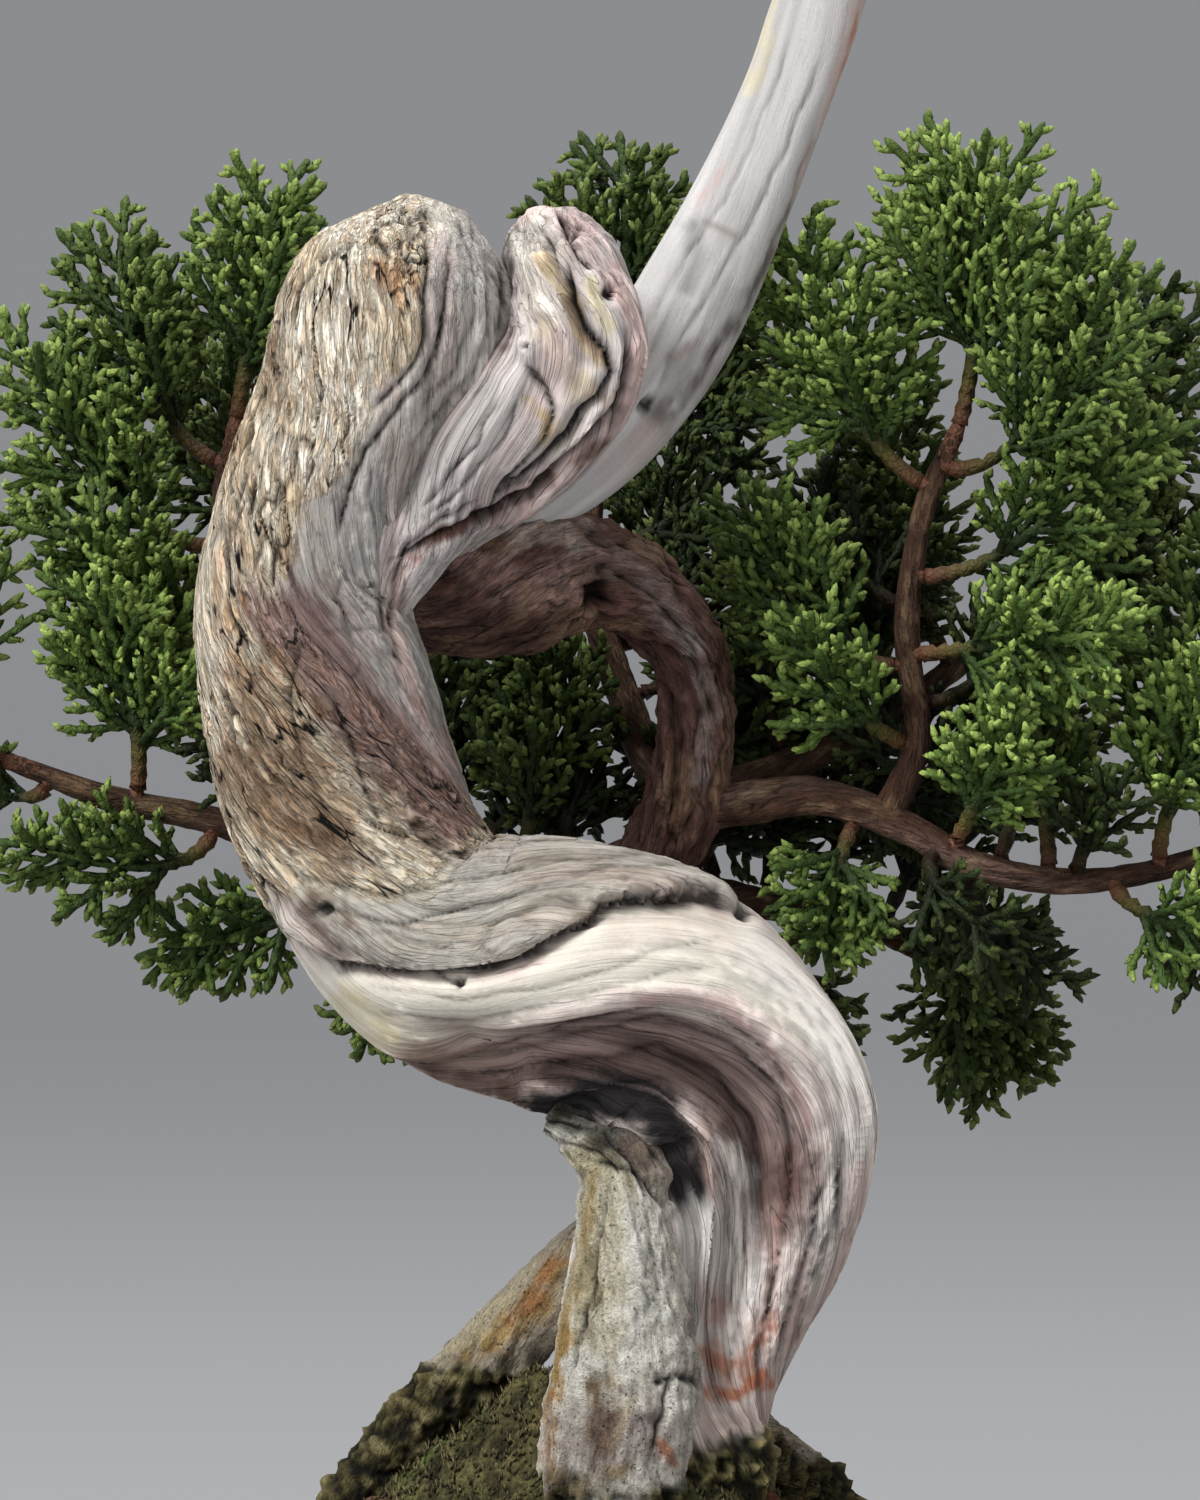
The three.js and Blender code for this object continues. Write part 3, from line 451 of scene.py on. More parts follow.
@dataclass(frozen=True)
class WoodFinish:
    """Weathered wood and bark, painted on the mesh and detailed along its grain."""

    name: str
    fibre: float = 1.0
    crust: float = 0.0
    depth: float = 0.00032

    def material(self) -> Material:
        """The finish as a material."""
        r = Recipe(self.name)
        tone, kind, grain = r.layer("tone"), r.layer("tone", "Alpha"), r.layer("grain", "Vector")
        bark = r.graded(kind, 0.0, 1.0)
        slow = r.along(grain, 0.16)
        wander = r.node("TexNoise", {}, {"Vector": slow, "Scale": 0.5, "Detail": 2.0}, "Color")
        bent = r.shifted(grain, r.stretched(wander, (0.8, 0.8, 2.0)))
        streak = r.speckle(r.along(bent, 0.055), 1.5, 7, 0.66)
        thread = r.speckle(r.along(bent, 0.03), 5.2, 3, 0.6)
        grit = r.speckle(grain, 3.2, 6, 0.68)
        flake = r.speckle(r.along(bent, 0.3), 1.3, 8, 0.64)
        woolly = r.shifted(grain, r.stretched(wander, (2.2, 2.2, 3.0)))
        weave = r.speckle(r.along(woolly, 0.26), 1.25, 3, 0.55)
        weave = r.graded(abs(weave - 0.5), 0.0, 0.13)
        broad = r.hairline(r.along(bent, 0.035), 0.85, 0.016)
        narrow = r.hairline(r.along(bent, 0.04), 2.1, 0.03)
        ragged = r.shifted(r.along(grain, 0.24), r.stretched(wander, (3.4, 3.4, 1.4)))
        torn = r.graded(r.speckle(r.along(grain, 0.4), 0.24, 2, 0.5), 0.5, 0.58)
        open_crack = r.graded(r.crackle(ragged, 0.46), 0.008, 0.045, 1.0, 0.0) * torn
        fine_crack = r.hairline(r.along(bent, 0.16), 1.3, 0.03)
        specks = r.graded(r.speckle(grain, 2.2, 3, 0.6), 0.6, 0.67)
        split = r.graded(r.speckle(r.along(bent, 0.045), 2.3, 2, 0.5), 0.61, 0.67)
        dead = 1 - abs(kind)
        # The colour follows the bump's patterns: darker in the lines and cracks, painted shade, and lighter on
        # raised fibres, flakes, weave and grit, painted highlight, over the grain's own tone.
        lines = broad * 0.34 + narrow * 0.16 + split * 0.24
        cracks = open_crack * 0.76 + fine_crack * 0.3
        fibres = dead * self.fibre * ((streak - 0.5) * 0.8 + (thread - 0.5) * 0.42 - lines)
        light = 1.02 + 0.07 * self.crust + fibres
        light = light + bark * ((flake - 0.5) * 0.9 + (weave - 0.7) * 0.55 + (streak - 0.5) * 0.4 - cracks)
        light = light + (grit - 0.5) * (0.3 + 1.5 * self.crust) - specks * (bark * 0.3 + 0.6 * self.crust)
        brown = r.lit(tone, (0.9, 0.72, 0.54, 1))
        warm = r.blend(r.graded(flake, 0.56, 0.42) * bark * 0.6, tone, brown)
        r.set(Base_Color=r.lit(warm, light), Specular_IOR_Level=0.22)
        r.set(Roughness=0.74 + 0.2 * flake)
        relief = dead * self.fibre * (streak * 0.8 + thread * 0.35 - lines * 1.1)
        relief = relief + bark * (flake * 1.0 + weave * 0.9 - cracks * 1.5) + grit * (0.25 + 1.3 * self.crust)
        r.bumped(relief, 0.9, self.depth)
        return r.material


@dataclass(frozen=True)
class LeafFinish:
    """Satin scale leaves, painted from old wood to young tips on the mesh."""

    name: str = "scale_leaves"

    def material(self) -> Material:
        """The finish as a material."""
        r = Recipe(self.name)
        tone, place = r.layer("tone"), r.place()
        patch = r.speckle(place, 420, 3, 0.6)
        scale = r.crackle(r.along(place, 0.8), 1500)
        # Darker along the scales' edges, where the bump sinks: painted shade between the scales.
        light = 0.66 + 0.42 * patch + r.graded(scale, 0.0, 0.2) * 0.26
        r.set(Base_Color=r.lit(tone, light), Specular_IOR_Level=0.25)
        r.set(Roughness=0.52 + 0.24 * patch)
        r.bumped(r.graded(scale, 0.0, 0.25) + patch * 0.4, 0.6, 0.00016)
        return r.material


@dataclass(frozen=True)
class GroundFinish:
    """Matt grit or moss, painted on the mesh."""

    name: str
    fine: float
    depth: float

    def material(self) -> Material:
        """The finish as a material."""
        r = Recipe(self.name)
        tone, place = r.layer("tone"), r.place()
        grit = r.speckle(place, self.fine, 7, 0.7)
        # The grit is darker where its bump is low and lighter where it is high: painted shade and highlight over
        # its own varied tone.
        grain = r.graded(grit, 0.38, 0.62)
        spots = r.graded(r.speckle(place, self.fine * 2.3, 2, 0.5), 0.6, 0.7)
        r.set(Base_Color=r.lit(tone, 0.42 + 1.1 * grain + spots * 0.6), Specular_IOR_Level=0.2)
        r.set(Roughness=0.82 + 0.16 * grit)
        r.bumped(grit, 0.9, self.depth)
        return r.material


@dataclass(frozen=True)
class ClayFinish:
    """Unglazed dark stoneware with a fine sandy skin and lighter blooms."""

    name: str = "unglazed_clay"

    def material(self) -> Material:
        """The finish as a material."""
        r = Recipe(self.name)
        place = r.place()
        cloud = r.speckle(r.along(place, 1.6), 34, 4, 0.6)
        sand = r.speckle(place, 1900, 3, 0.6)
        wipe = r.speckle(r.stretched(place, (0.22, 0.22, 1)), 520, 3, 0.6)
        body = r.blend(r.graded(cloud, 0.35, 0.68), (0.062, 0.036, 0.026, 1), (0.105, 0.064, 0.046, 1))
        bloom = r.graded(r.speckle(place, 60, 5, 0.65), 0.56, 0.74)
        body = r.blend(bloom * 0.3, body, (0.2, 0.155, 0.125, 1))
        r.set(Base_Color=r.lit(body, 0.72 + 0.5 * sand), Specular_IOR_Level=0.35)
        r.set(Roughness=0.58 + 0.24 * cloud)
        r.bumped(sand * 0.7 + wipe * 0.6, 0.45, 0.00018)
        return r.material


@dataclass(frozen=True)
class NetFinish:
    """Matt black plastic net with dust on it."""

    name: str = "black_net"

    def material(self) -> Material:
        """The finish as a material."""
        r = Recipe(self.name)
        dust = r.speckle(r.place(), 700, 4, 0.6)
        r.set(Base_Color=r.blend(r.graded(dust, 0.45, 0.8), (0.016, 0.017, 0.019, 1), (0.07, 0.062, 0.052, 1)))
        r.set(Roughness=0.42 + 0.3 * dust, Specular_IOR_Level=0.4)
        r.bumped(dust, 0.3, 0.0001)
        return r.material


# Meshes


def deselect() -> None:
    """Leaves nothing selected, so that an operator acts on the new piece alone."""
    if bpy.context.mode != "OBJECT":
        bpy.ops.object.mode_set(mode="OBJECT")
    bpy.ops.object.select_all(action="DESELECT")


def chosen(*pieces: Piece) -> None:
    """Leaves only these pieces selected, with the first one active."""
    deselect()
    for piece in pieces:
        piece.select_set(True)
    bpy.context.view_layer.objects.active = pieces[0]


def settled() -> Piece:
    """The active piece, with its place, turn and scale moved into its mesh."""
    bpy.ops.object.transform_apply(location=True, rotation=True, scale=True)
    return bpy.context.object


def master() -> tuple[Array, list[list[int]]]:
    """Points and faces of the piece that an operator has just added, which is taken away again."""
    piece = bpy.context.object
    points = np.array([vertex.co for vertex in piece.data.vertices])
    faces = [list(face.vertices) for face in piece.data.polygons]
    bpy.data.objects.remove(piece)
    return points, faces


def paint(piece: Piece, layers: dict[str, Array]) -> None:
    """Stores values on a mesh's points.

    Args:
        piece: The mesh object.
        layers: A row for each point under each name: four numbers for a colour, three for a vector.
    """
    for name, values in layers.items():
        is_colour = values.shape[-1] == 4
        made = piece.data.attributes.new(name, "FLOAT_COLOR" if is_colour else "FLOAT_VECTOR", "POINT")
        made.data.foreach_set("color" if is_colour else "vector", values.astype(np.float32).ravel())


def shell(name: str, grid: Array, poles: Array, layers: dict[str, Array]) -> Piece:
    """A closed skin: a sphere added by its operator, with each point moved to its place.

    Args:
        name: The piece's name.
        grid: Points in rows from the low end, millimetres.
        poles: The two end points.
        layers: What is stored on each point of the grid.

    Returns:
        The mesh object.
    """
    rows, columns = grid.shape[:2]
    deselect()
    bpy.ops.mesh.primitive_uv_sphere_add(segments=columns, ring_count=rows + 1, calc_uvs=False)
    piece = bpy.context.object
    piece.name = piece.data.name = name
    at = np.empty(3 * len(piece.data.vertices), np.float32)
    piece.data.vertices.foreach_get("co", at)
    at = at.reshape(-1, 3)
    row = np.rint(np.arccos(np.clip(-at[:, 2], -1, 1)) / math.pi * (rows + 1)).astype(int)
    column = np.rint(np.arctan2(at[:, 1], at[:, 0]) / (2 * math.pi) * columns).astype(int) % columns
    ends = [np.broadcast_to(pole, (1, columns, 3)) for pole in poles]
    whole = np.concatenate([ends[0], grid, ends[1]])
    piece.data.vertices.foreach_set("co", (whole[row, column] * MM).astype(np.float32).ravel())
    padded = {}
    for key, values in layers.items():
        caps = [np.broadcast_to(values[k].mean(0), (1, *values.shape[1:])) for k in (0, -1)]
        padded[key] = np.concatenate([caps[0], values, caps[1]])[row, column]
    paint(piece, padded)
    bpy.ops.object.shade_smooth()
    return piece


def repeated(faces: Array, points: int, count: int) -> Array:
    """One master's faces for each of many copies that follow each other."""
    return (faces[None] + points * np.arange(count)[:, None, None]).reshape(-1, faces.shape[1])


def faced(name: str, points: Array, faces: list[Array], layers: dict[str, Array]) -> Piece:
    """A mesh from points and faces that were copied many times from one master.

    Args:
        name: The piece's name.
        points: Points in millimetres.
        faces: Arrays of faces, each with its own number of corners.
        layers: What is stored on each point.

    Returns:
        The mesh object.
    """
    mesh = bpy.data.meshes.new(name)
    mesh.vertices.add(len(points))
    mesh.vertices.foreach_set("co", (points * MM).astype(np.float32).ravel())
    corners = np.concatenate([group.ravel() for group in faces])
    totals = np.concatenate([np.full(len(group), group.shape[1]) for group in faces])
    mesh.loops.add(len(corners))
    mesh.loops.foreach_set("vertex_index", corners.astype(np.int32))
    mesh.polygons.add(len(totals))
    mesh.polygons.foreach_set("loop_start", np.concatenate([[0], np.cumsum(totals)[:-1]]).astype(np.int32))
    mesh.polygons.foreach_set("use_smooth", np.ones(len(totals), bool))
    mesh.update(calc_edges=True)
    mesh.validate()
    piece = bpy.data.objects.new(name, mesh)
    bpy.context.scene.collection.objects.link(piece)
    paint(piece, layers)
    return piece


def joined(name: str, parts: Sequence[Piece]) -> Piece:
    """Several meshes as one piece."""
    chosen(*parts)
    if len(parts) > 1:
        bpy.ops.object.join()
    parts[0].name = parts[0].data.name = name
    return parts[0]


def finished(piece: Piece, material: Material, slot: str, nodes: Sequence[str]) -> None:
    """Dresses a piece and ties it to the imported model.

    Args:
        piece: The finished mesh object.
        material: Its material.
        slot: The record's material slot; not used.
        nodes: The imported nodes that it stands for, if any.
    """
    piece.data.materials.clear()
    piece.data.materials.append(material)
    if nodes:
        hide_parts(*nodes)
    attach(piece, BODY)
    LOG.info("%s: %d points, stands for %s", piece.name, len(piece.data.vertices), ", ".join(nodes) or "itself")


# Strands of wood


class Spine:
    """The middle line of a strand with its half-sizes, smooth through every station."""

    STEPS = 200

    def __init__(self, stations: Sequence[Station]) -> None:
        """Sets the stations in place in front of the pot's middle."""
        rows = np.array(stations, float)
        rows[:, :3] += TREE_AT
        self.rows = np.vstack([2 * rows[0] - rows[1], rows, 2 * rows[-1] - rows[-2]])
        self.spans = len(rows) - 1
        self.shares = np.linspace(0, 1, self.STEPS + 1)
        steps = np.linalg.norm(np.diff(self.at(self.shares)[:, :3], axis=0), axis=1)
        self.lengths = np.concatenate([[0.0], np.cumsum(steps)])
        self.length = float(self.lengths[-1])

    def at(self, t: Array) -> Array:
        """Middle, half-width and half-depth at each share of the stations."""
        place = np.clip(t, 0, 1) * self.spans
        k = np.minimum(place.astype(int), self.spans - 1)
        w = (place - k)[:, None]
        p0, p1, p2, p3 = (self.rows[k + i] for i in range(4))
        m1, m2 = (p2 - p0) / 2, (p3 - p1) / 2
        return p1 + m1 * w + (3 * (p2 - p1) - 2 * m1 - m2) * w**2 + (2 * (p1 - p2) + m1 + m2) * w**3

    def evenly(self, share: Array) -> Array:
        """The share of the stations at each share of the length."""
        return np.interp(share * self.length, self.lengths, self.shares)

    def along(self, t: Array) -> Array:
        """The strand's direction at each share of the stations."""
        step = 1e-4
        return unit((self.at(np.minimum(t + step, 1)) - self.at(np.maximum(t - step, 0)))[:, :3])


# Hollows of the front face: [x, z] points from the foot, half-width and depth, as in the part's source.
CHISELLED = [
    ([(-17, 80.5), (-6, 80.6), (3, 81), (10.5, 78), (12.8, 70), (10.6, 60), (8, 51)], 4.6, 4.4),
    ([(-8, 76), (0, 77.6), (4.6, 73), (5.4, 64), (6.2, 54)], 1.9, 3.2),
    ([(-14, 165.5), (-12.4, 158), (-12.6, 152), (-10, 149)], 1.8, 1.6),
    ([(-30, 92.4), (-21, 91.2), (-12, 92.6), (-4, 97.4), (4, 98.4), (10, 96.6)], 1.6, 1.5),
]


class Cut(NamedTuple):
    """A groove, or a ridge if its depth is negative, drawn on the front of the wood, with painted shade along a
    groove and painted highlight along a ridge.
    """

    line: Line
    reach: float
    depth: float
    shade: float = 0.5
    crease: bool = True


class Lip(NamedTuple):
    """A rounded edge where the wood above a line laps over the wood below it, with painted shadow under it."""

    line: Line
    reach: float
    rise: float


class StainAndShading(NamedTuple):
    """A soft stroke of colour, drawn on the front of the wood: most are stains, and some are painted shade and
    painted highlight.
    """

    line: Line
    reach: float
    tint: Tint
    strength: float = 0.8


class Zone(NamedTuple):
    """An outline with its own ground colour, its own share of bark and how much its relief is smoothed."""

    outline: Line
    tint: Tint
    bark: float
    blur: float = 9.0
    calm: float = 0.0


class Field(NamedTuple):
    """A noise on a strand: its own seed, its layers, and what places are multiplied and divided by."""

    salt: int
    layers: int
    by: Any = 1.0
    over: Any = 1.0

    def read(self, at: Array, seed: int) -> Array:
        """The noise at places of a strand that has that seed."""
        return noise(at * self.by / self.over, seed + self.salt, self.layers)


# Read where the skin is in space.
WOBBLE = Field(0, 3, over=2.6)
CRUST = Field(41, 4, over=1.5)
BLOTCH = Field(91, 3, over=1.9)
TUFTS = (Field(95, 2, over=1.7), Field(97, 2, over=0.8))
MOSS_EDGE = Field(96, 2, over=3.5)
# Read along the grain: two numbers across it and one along it.
FOLD = Field(11, 2, by=(0.42, 0.42, 0.022))
STREAK = Field(21, 3, by=(1.3, 1.3, 0.06))
GROOVE = Field(26, 2, by=(0.62, 0.62, 0.026))
WRINKLE = Field(31, 3, by=(0.9, 0.9, 0.2))
FLUSH = Field(36, 2, by=(0.34, 0.34, 0.03))
DRIFTS = [Field(salt, 2, over=3.4) for salt in (51, 61, 71)]
PATCHES = Field(81, 2, over=(4.0, 4.0, 9.0))
WAVE = Field(86, 2, by=(0.5, 0.5, 0.055))
TORN = Field(88, 1, over=(2.4, 2.4, 6.0))
# How far the wobble moves what is drawn, in the drawing's units, and from which reach a stain is one even wash.
ZONE_WANDER, CUT_WANDER, LIP_WANDER, STAIN_WANDER = 30, 7, 9, 16
WIDE_STAIN = 24


@dataclass
class Strand:
    """A strand of wood that is shaped along its stations, carved, painted and given its grain."""

    stations: Sequence[Station]
    columns: int
    pitch: float
    tint: Tint
    furrow: float = 0.0
    furrows: int = 3
    turns: float = 0.6
    chiselled: bool = False
    bark: float = 0.0
    folds: float = 0.35
    plate: tuple[float, float] = (3.2, 8.0)
    cracks: float = 0.5
    crust: float = 0.0
    crowding: float = 0.4
    blush: float = 0.4
    moss_level: float = 0.0
    calm: float = 0.0
    seed: int = 1
    zones: Sequence[Zone] = ()
    cuts: Sequence[Cut] = ()
    lips: Sequence[Lip] = ()
    stains_and_shading: Sequence[StainAndShading] = ()

    def lattice(self) -> None:
        """Lays out the strand's rows of points as the part's source does."""
        spine = Spine(self.stations)
        rows = round(spine.length / self.pitch)
        share = np.arange(1, rows) / rows
        t = spine.evenly(share)
        station = spine.at(t)
        tangent = spine.along(t)
        front = unit(VIEWER - tangent * (tangent @ VIEWER)[:, None])
        side = np.cross(tangent, front)
        even = 2 * math.pi * np.arange(self.columns) / self.columns
        self.angle = even - self.crowding * np.sin(even)
        turned = self.angle[None] + 2 * math.pi * self.turns * share[:, None]
        ridge = 1 + self.furrow * np.cos(self.furrows * turned)
        wide = station[:, 3:4] * ridge * np.sin(self.angle)
        deep = station[:, 4:5] * ridge * np.cos(self.angle)
        self.centre = station[:, None, :3]
        self.points = self.centre + side[:, None] * wide[..., None] + front[:, None] * deep[..., None]
        radius = (station[:, 3] + station[:, 4])[:, None] / 2
        length = np.broadcast_to(spine.length * share[:, None], turned.shape)
        self.grain = np.stack([radius * np.cos(turned), radius * np.sin(turned), length], axis=-1)
        self.poles = spine.at(np.array([0.0, 1.0]))[:, :3]

    def chisel(self) -> None:
        """Cuts the hollows of the front face."""
        x, z = self.points[..., 0] - TREE_AT[0], self.points[..., 2]
        depth = np.zeros(x.shape)
        for line, reach, cut in CHISELLED:
            depth = np.maximum(depth, cut * np.exp(-((beside(line, x, z)[0] / reach) ** 2)))
        depth *= np.clip(2.2 * np.cos(self.angle), 0, 1)
        self.points -= unit(self.points - self.centre) * depth[..., None]

    def survey(self) -> None:
        """Finds which way the skin faces, where the camera sees it, and the noises that all steps share."""
        across = np.roll(self.points, -1, axis=1) - np.roll(self.points, 1, axis=1)
        self.out = unit(np.cross(across, np.gradient(self.points, axis=0)))
        self.front = smooth(-self.out[..., 1], -0.1, 0.35)
        nearer = FRAME[1] / FRAME_HEIGHT * VIEW_DISTANCE / (VIEW_DISTANCE - TREE_AT[1] + self.points[..., 1])
        self.x = FRAME[0] / 2 + (self.points[..., 0] - AIM[0]) * nearer
        self.y = FRAME[1] / 2 - (self.points[..., 2] - AIM[1]) * nearer
        self.wobble = WOBBLE.read(self.points, self.seed) - 0.5
        self.streak = STREAK.read(self.grain, self.seed) - 0.5

    def drawn(self, wander: float) -> tuple[Array, Array]:
        """Where the points stand on the drawing, moved aside a little so that no drawn edge is even."""
        return self.x + wander * self.wobble, self.y + wander * self.wobble

    def tinted(self, tint: Tint, share: Array) -> None:
        """Turns the colour towards a tint by a share."""
        self.tone = between(self.tone, tint.linear, share[..., None])

    def ground(self) -> None:
        """Lays the ground colour, where bark grows and where the wood is calm."""
        self.tone = np.broadcast_to(self.tint.linear, self.points.shape)
        self.rind, self.still = np.full(self.x.shape, self.bark), np.full(self.x.shape, self.calm)
        for zone in self.zones:
            share = within(zone.outline, *self.drawn(ZONE_WANDER), zone.blur)
            self.tinted(zone.tint, share)
            self.rind += (zone.bark - self.rind) * share
            self.still = np.maximum(self.still, zone.calm * share)
        flush = smooth(FLUSH.read(self.grain, self.seed), 0.48, 0.74)
        self.tinted(Tint.PINK, self.blush * flush * (1 - self.rind) * (1 - self.still))

    def weather(self) -> None:
        """Raises the plates, cracks and wrinkles of the bark and the folds of the bare wood, and paints their
        shade into the colour.
        """
        bark, seed = self.rind, self.seed
        drift = np.stack([field.read(self.grain, seed) - 0.5 for field in DRIFTS], axis=-1)
        swirl = self.grain + drift * (2.4, 2.4, 4.0)
        wrinkle = 1 - np.abs(2 * WRINKLE.read(swirl, seed) - 1)
        size = np.array([self.plate[0], self.plate[0], self.plate[1]])
        gap, plate = plates((self.grain + drift * (3.2, 3.2, 7.0)) / size, seed)
        patchy = bark * smooth(PATCHES.read(self.grain, seed), 0.5, 0.66)
        crack, rim = smooth(gap, 0.13, 0.0) * patchy, smooth(gap, 0.45, 0.1) * patchy
        wave = np.abs(WAVE.read(swirl, seed) - 0.5)
        torn = smooth(TORN.read(self.grain, seed), 0.5, 0.62)
        fissure = smooth(wave, 0.06, 0.0) * bark * torn
        self.tinted(Tint.CRACK, 0.3 * rim + 0.5 * fissure)
        self.tinted(Tint.BARK_TAN, 0.4 * bark * smooth(plate, 0.6, 0.95))
        fold = FOLD.read(self.grain, seed) - 0.5
        groove = smooth(np.abs(GROOVE.read(self.grain, seed) - 0.5), 0.13, 0.0)
        height = bark * (0.2 * (plate - 0.5) * (1 - rim) + 0.42 * (wrinkle - 0.6))
        height -= self.cracks * (crack + fissure)
        height += (1 - bark) * (self.folds * (2.2 * fold + 0.34 * self.streak) - 0.42 * self.folds * groove)
        height += self.crust * (CRUST.read(self.points, seed) - 0.5) * 2
        # Painted shade: darker in cracks, fissures and grooves and on the low sides of wrinkles, folds and
        # streaks, lighter on their high sides.
        shade = 1 - 0.6 * crack - 0.6 * fissure + bark * 0.36 * (wrinkle - 0.6)
        shade += (1 - bark) * (0.5 * fold + 0.75 * self.streak - 0.2 * groove)
        self.height = height * (1 - self.still)
        self.shade = 1 + (shade - 1) * (1 - 0.6 * self.still)

    def carve(self) -> None:
        """Cuts the drawn grooves and lays the drawn lips over what is below them."""
        for cut in self.cuts:
            gap, share, _ = beside(cut.line, *self.drawn(CUT_WANDER))
            profile = np.exp(-gap / cut.reach) if cut.crease else np.exp(-((gap / cut.reach) ** 2))
            profile *= smooth(share, -0.04, 0.1) * smooth(share, 1.04, 0.9) * self.front
            self.height -= cut.depth * profile
            # Painted shade along a groove; a negative shade paints a highlight along a ridge.
            self.shade -= cut.shade * profile
        for lip in self.lips:
            gap, share, below = beside(lip.line, *self.drawn(LIP_WANDER))
            ends = smooth(share, 0, 0.08) * smooth(share, 1, 0.93) * self.front
            under = np.maximum(below, 0)
            self.height += lip.rise * smooth(below, 5, -8) * np.exp(-np.maximum(-below, 0) / lip.reach) * ends
            self.height -= 0.7 * np.exp(-((under / 9) ** 2)) * smooth(below, -2, 2) * ends
            # Painted shadow under the lip.
            self.shade -= 0.75 * np.exp(-((under / 6) ** 2)) * smooth(below, -7, 2) * ends

    def lay_stains_and_shading(self) -> None:
        """Lays the drawn strokes of stain, painted shade and painted highlight, ragged along the grain and in
        blotches.
        """
        ragged = 1 + 1.3 * self.streak + 0.9 * self.wobble
        blotch = smooth(BLOTCH.read(self.points, self.seed), 0.32, 0.56)
        for stain in self.stains_and_shading:
            gap = beside(stain.line, *self.drawn(STAIN_WANDER))[0] * ragged
            share = stain.strength * smooth(gap, 1.2 * stain.reach, 0.4 * stain.reach) * self.front
            share *= blotch + (1 - blotch) * (1.0 if stain.reach > WIDE_STAIN else 0.35)
            self.tinted(stain.tint, share)

    def overgrow(self) -> None:
        """Covers the wood with a crust of moss below its level."""
        tuft = 0.45 * TUFTS[0].read(self.points, self.seed)
        tuft = tuft + 0.55 * TUFTS[1].read(self.points, self.seed)
        level = self.moss_level + 9 * (MOSS_EDGE.read(self.points, 0) - 0.5)
        share = smooth(self.points[..., 2] - level, 1.5, -1.5)
        # The moss is darker where its tufts sink and paler on their tops, which the tufts also raise: painted
        # shade and highlight over the moss's own colour.
        moss = between(0.6 * Tint.MOSS_DARK.linear, Tint.MOSS.linear, smooth(tuft, 0.4, 0.6)[..., None])
        moss += (Tint.MOSS_TIP.linear - moss) * 0.7 * smooth(tuft, 0.55, 0.72)[..., None]
        self.tone = between(self.tone, moss, share[..., None])
        self.shade += (1 - self.shade) * share
        self.height += share * (0.5 + 3.2 * (tuft - 0.5))

    @staticmethod
    def levelled(height: Array, passes: int = 9) -> Array:
        """The relief without its small forms, so that painted shade can lie in what is below it and painted
        highlight on what stands above it.

        Args:
            height: The relief.
            passes: How often each point takes the mean of its neighbours.

        Returns:
            The smooth relief.
        """
        for _ in range(passes):
            around = sum(np.roll(height, shift, axis) for shift in (1, -1) for axis in (0, 1))
            height = (height + around) / 5
        return height

    def build(self, name: str) -> Piece:
        """The carved and painted strand.

        Args:
            name: The mesh's name.

        Returns:
            The mesh object.
        """
        self.lattice()
        if self.chiselled:
            self.chisel()
        for step in (self.survey, self.ground, self.weather, self.carve, self.lay_stains_and_shading):
            step()
        if self.moss_level:
            self.overgrow()
        # Painted shade in the hollows of the relief and painted highlight on its ridges, multiplied into the
        # colour.
        hollow_shade_and_ridge_light = 1.1 * np.clip(self.height - self.levelled(self.height), -0.4, 0.22)
        tone = self.tone * np.clip(self.shade + hollow_shade_and_ridge_light, 0.1, 1.5)[..., None]
        points = self.points + self.out * self.height[..., None]
        layers = {"tone": toned(tone, self.rind - self.still), "grain": self.grain}
        return shell(name, points, self.poles, layers)


TRUNK = [
    (1.5, 2, 27, 8.5, 8.5), (1.8, 2, 38, 11, 10), (2.6, 1.5, 48, 11, 10), (4.8, 1, 58, 12, 9.5),
    (8, 0.5, 67, 13, 9.5), (9.2, -0.5, 76.3, 14.2, 10), (4.6, -2, 84, 14.4, 10.5), (-1.5, -3.5, 88.2, 13.8, 11),
    (-9, -4, 90.8, 13.2, 11), (-15.5, -3.5, 92, 12.6, 11), (-21.4, -2.5, 94.8, 12, 11),
    (-25.4, -1.5, 99.8, 11.7, 11), (-28.2, -0.5, 105, 11.9, 11), (-30.5, 0.5, 111, 11.7, 10.8),
    (-32, 1, 117.5, 11.4, 10.5), (-33.6, 1.5, 124.5, 10.9, 10), (-33.8, 1.5, 131, 10.3, 9.8),
    (-31.5, 1, 139, 10.4, 10), (-27.6, 0, 146.5, 10.9, 10.5), (-24.4, -1, 154.5, 11.9, 10.5),
    (-22.2, -1, 161.5, 10.3, 8.5), (-20.4, -0.5, 168, 3, 2.6),
]
HOOK = [
    (-31, 2, 124, 4.5, 5), (-27, 1, 132, 6.4, 7), (-20, 0.5, 141.5, 9, 8.6), (-11.6, 0, 147.2, 8.6, 8.8),
    (-7, 0, 153.3, 8, 9), (-7.6, 0.5, 159.5, 6.5, 7.8), (-8.6, 1, 163.8, 5.2, 6), (-9.2, 1, 167.3, 2.6, 2.4),
]
SPIKE = [
    (-22, 7, 133, 4, 4), (-14, 9.5, 139, 5.6, 5), (-6, 11.5, 144.8, 6.2, 5), (0.5, 13.5, 151.6, 6, 4.6),
    (5.7, 15, 159.6, 5.7, 4.3), (11, 16, 170, 4.9, 3.8), (15.4, 16.5, 180, 4.5, 3.5),
    (18.3, 16.5, 188, 4.6, 3.4), (21.2, 16, 197, 3.9, 3), (23.2, 15.5, 208, 2.7, 2.3),
    (24.4, 15.5, 219, 1.6, 1.4), (24, 16, 229, 0.5, 0.5),
]
SPIKE_FORK = [
    (18.6, 16.5, 189, 2.6, 2.2), (17.6, 17, 197, 1.9, 1.8), (15.2, 17.8, 204, 1.3, 1.2),
    (13.8, 18, 210, 0.4, 0.4),
]
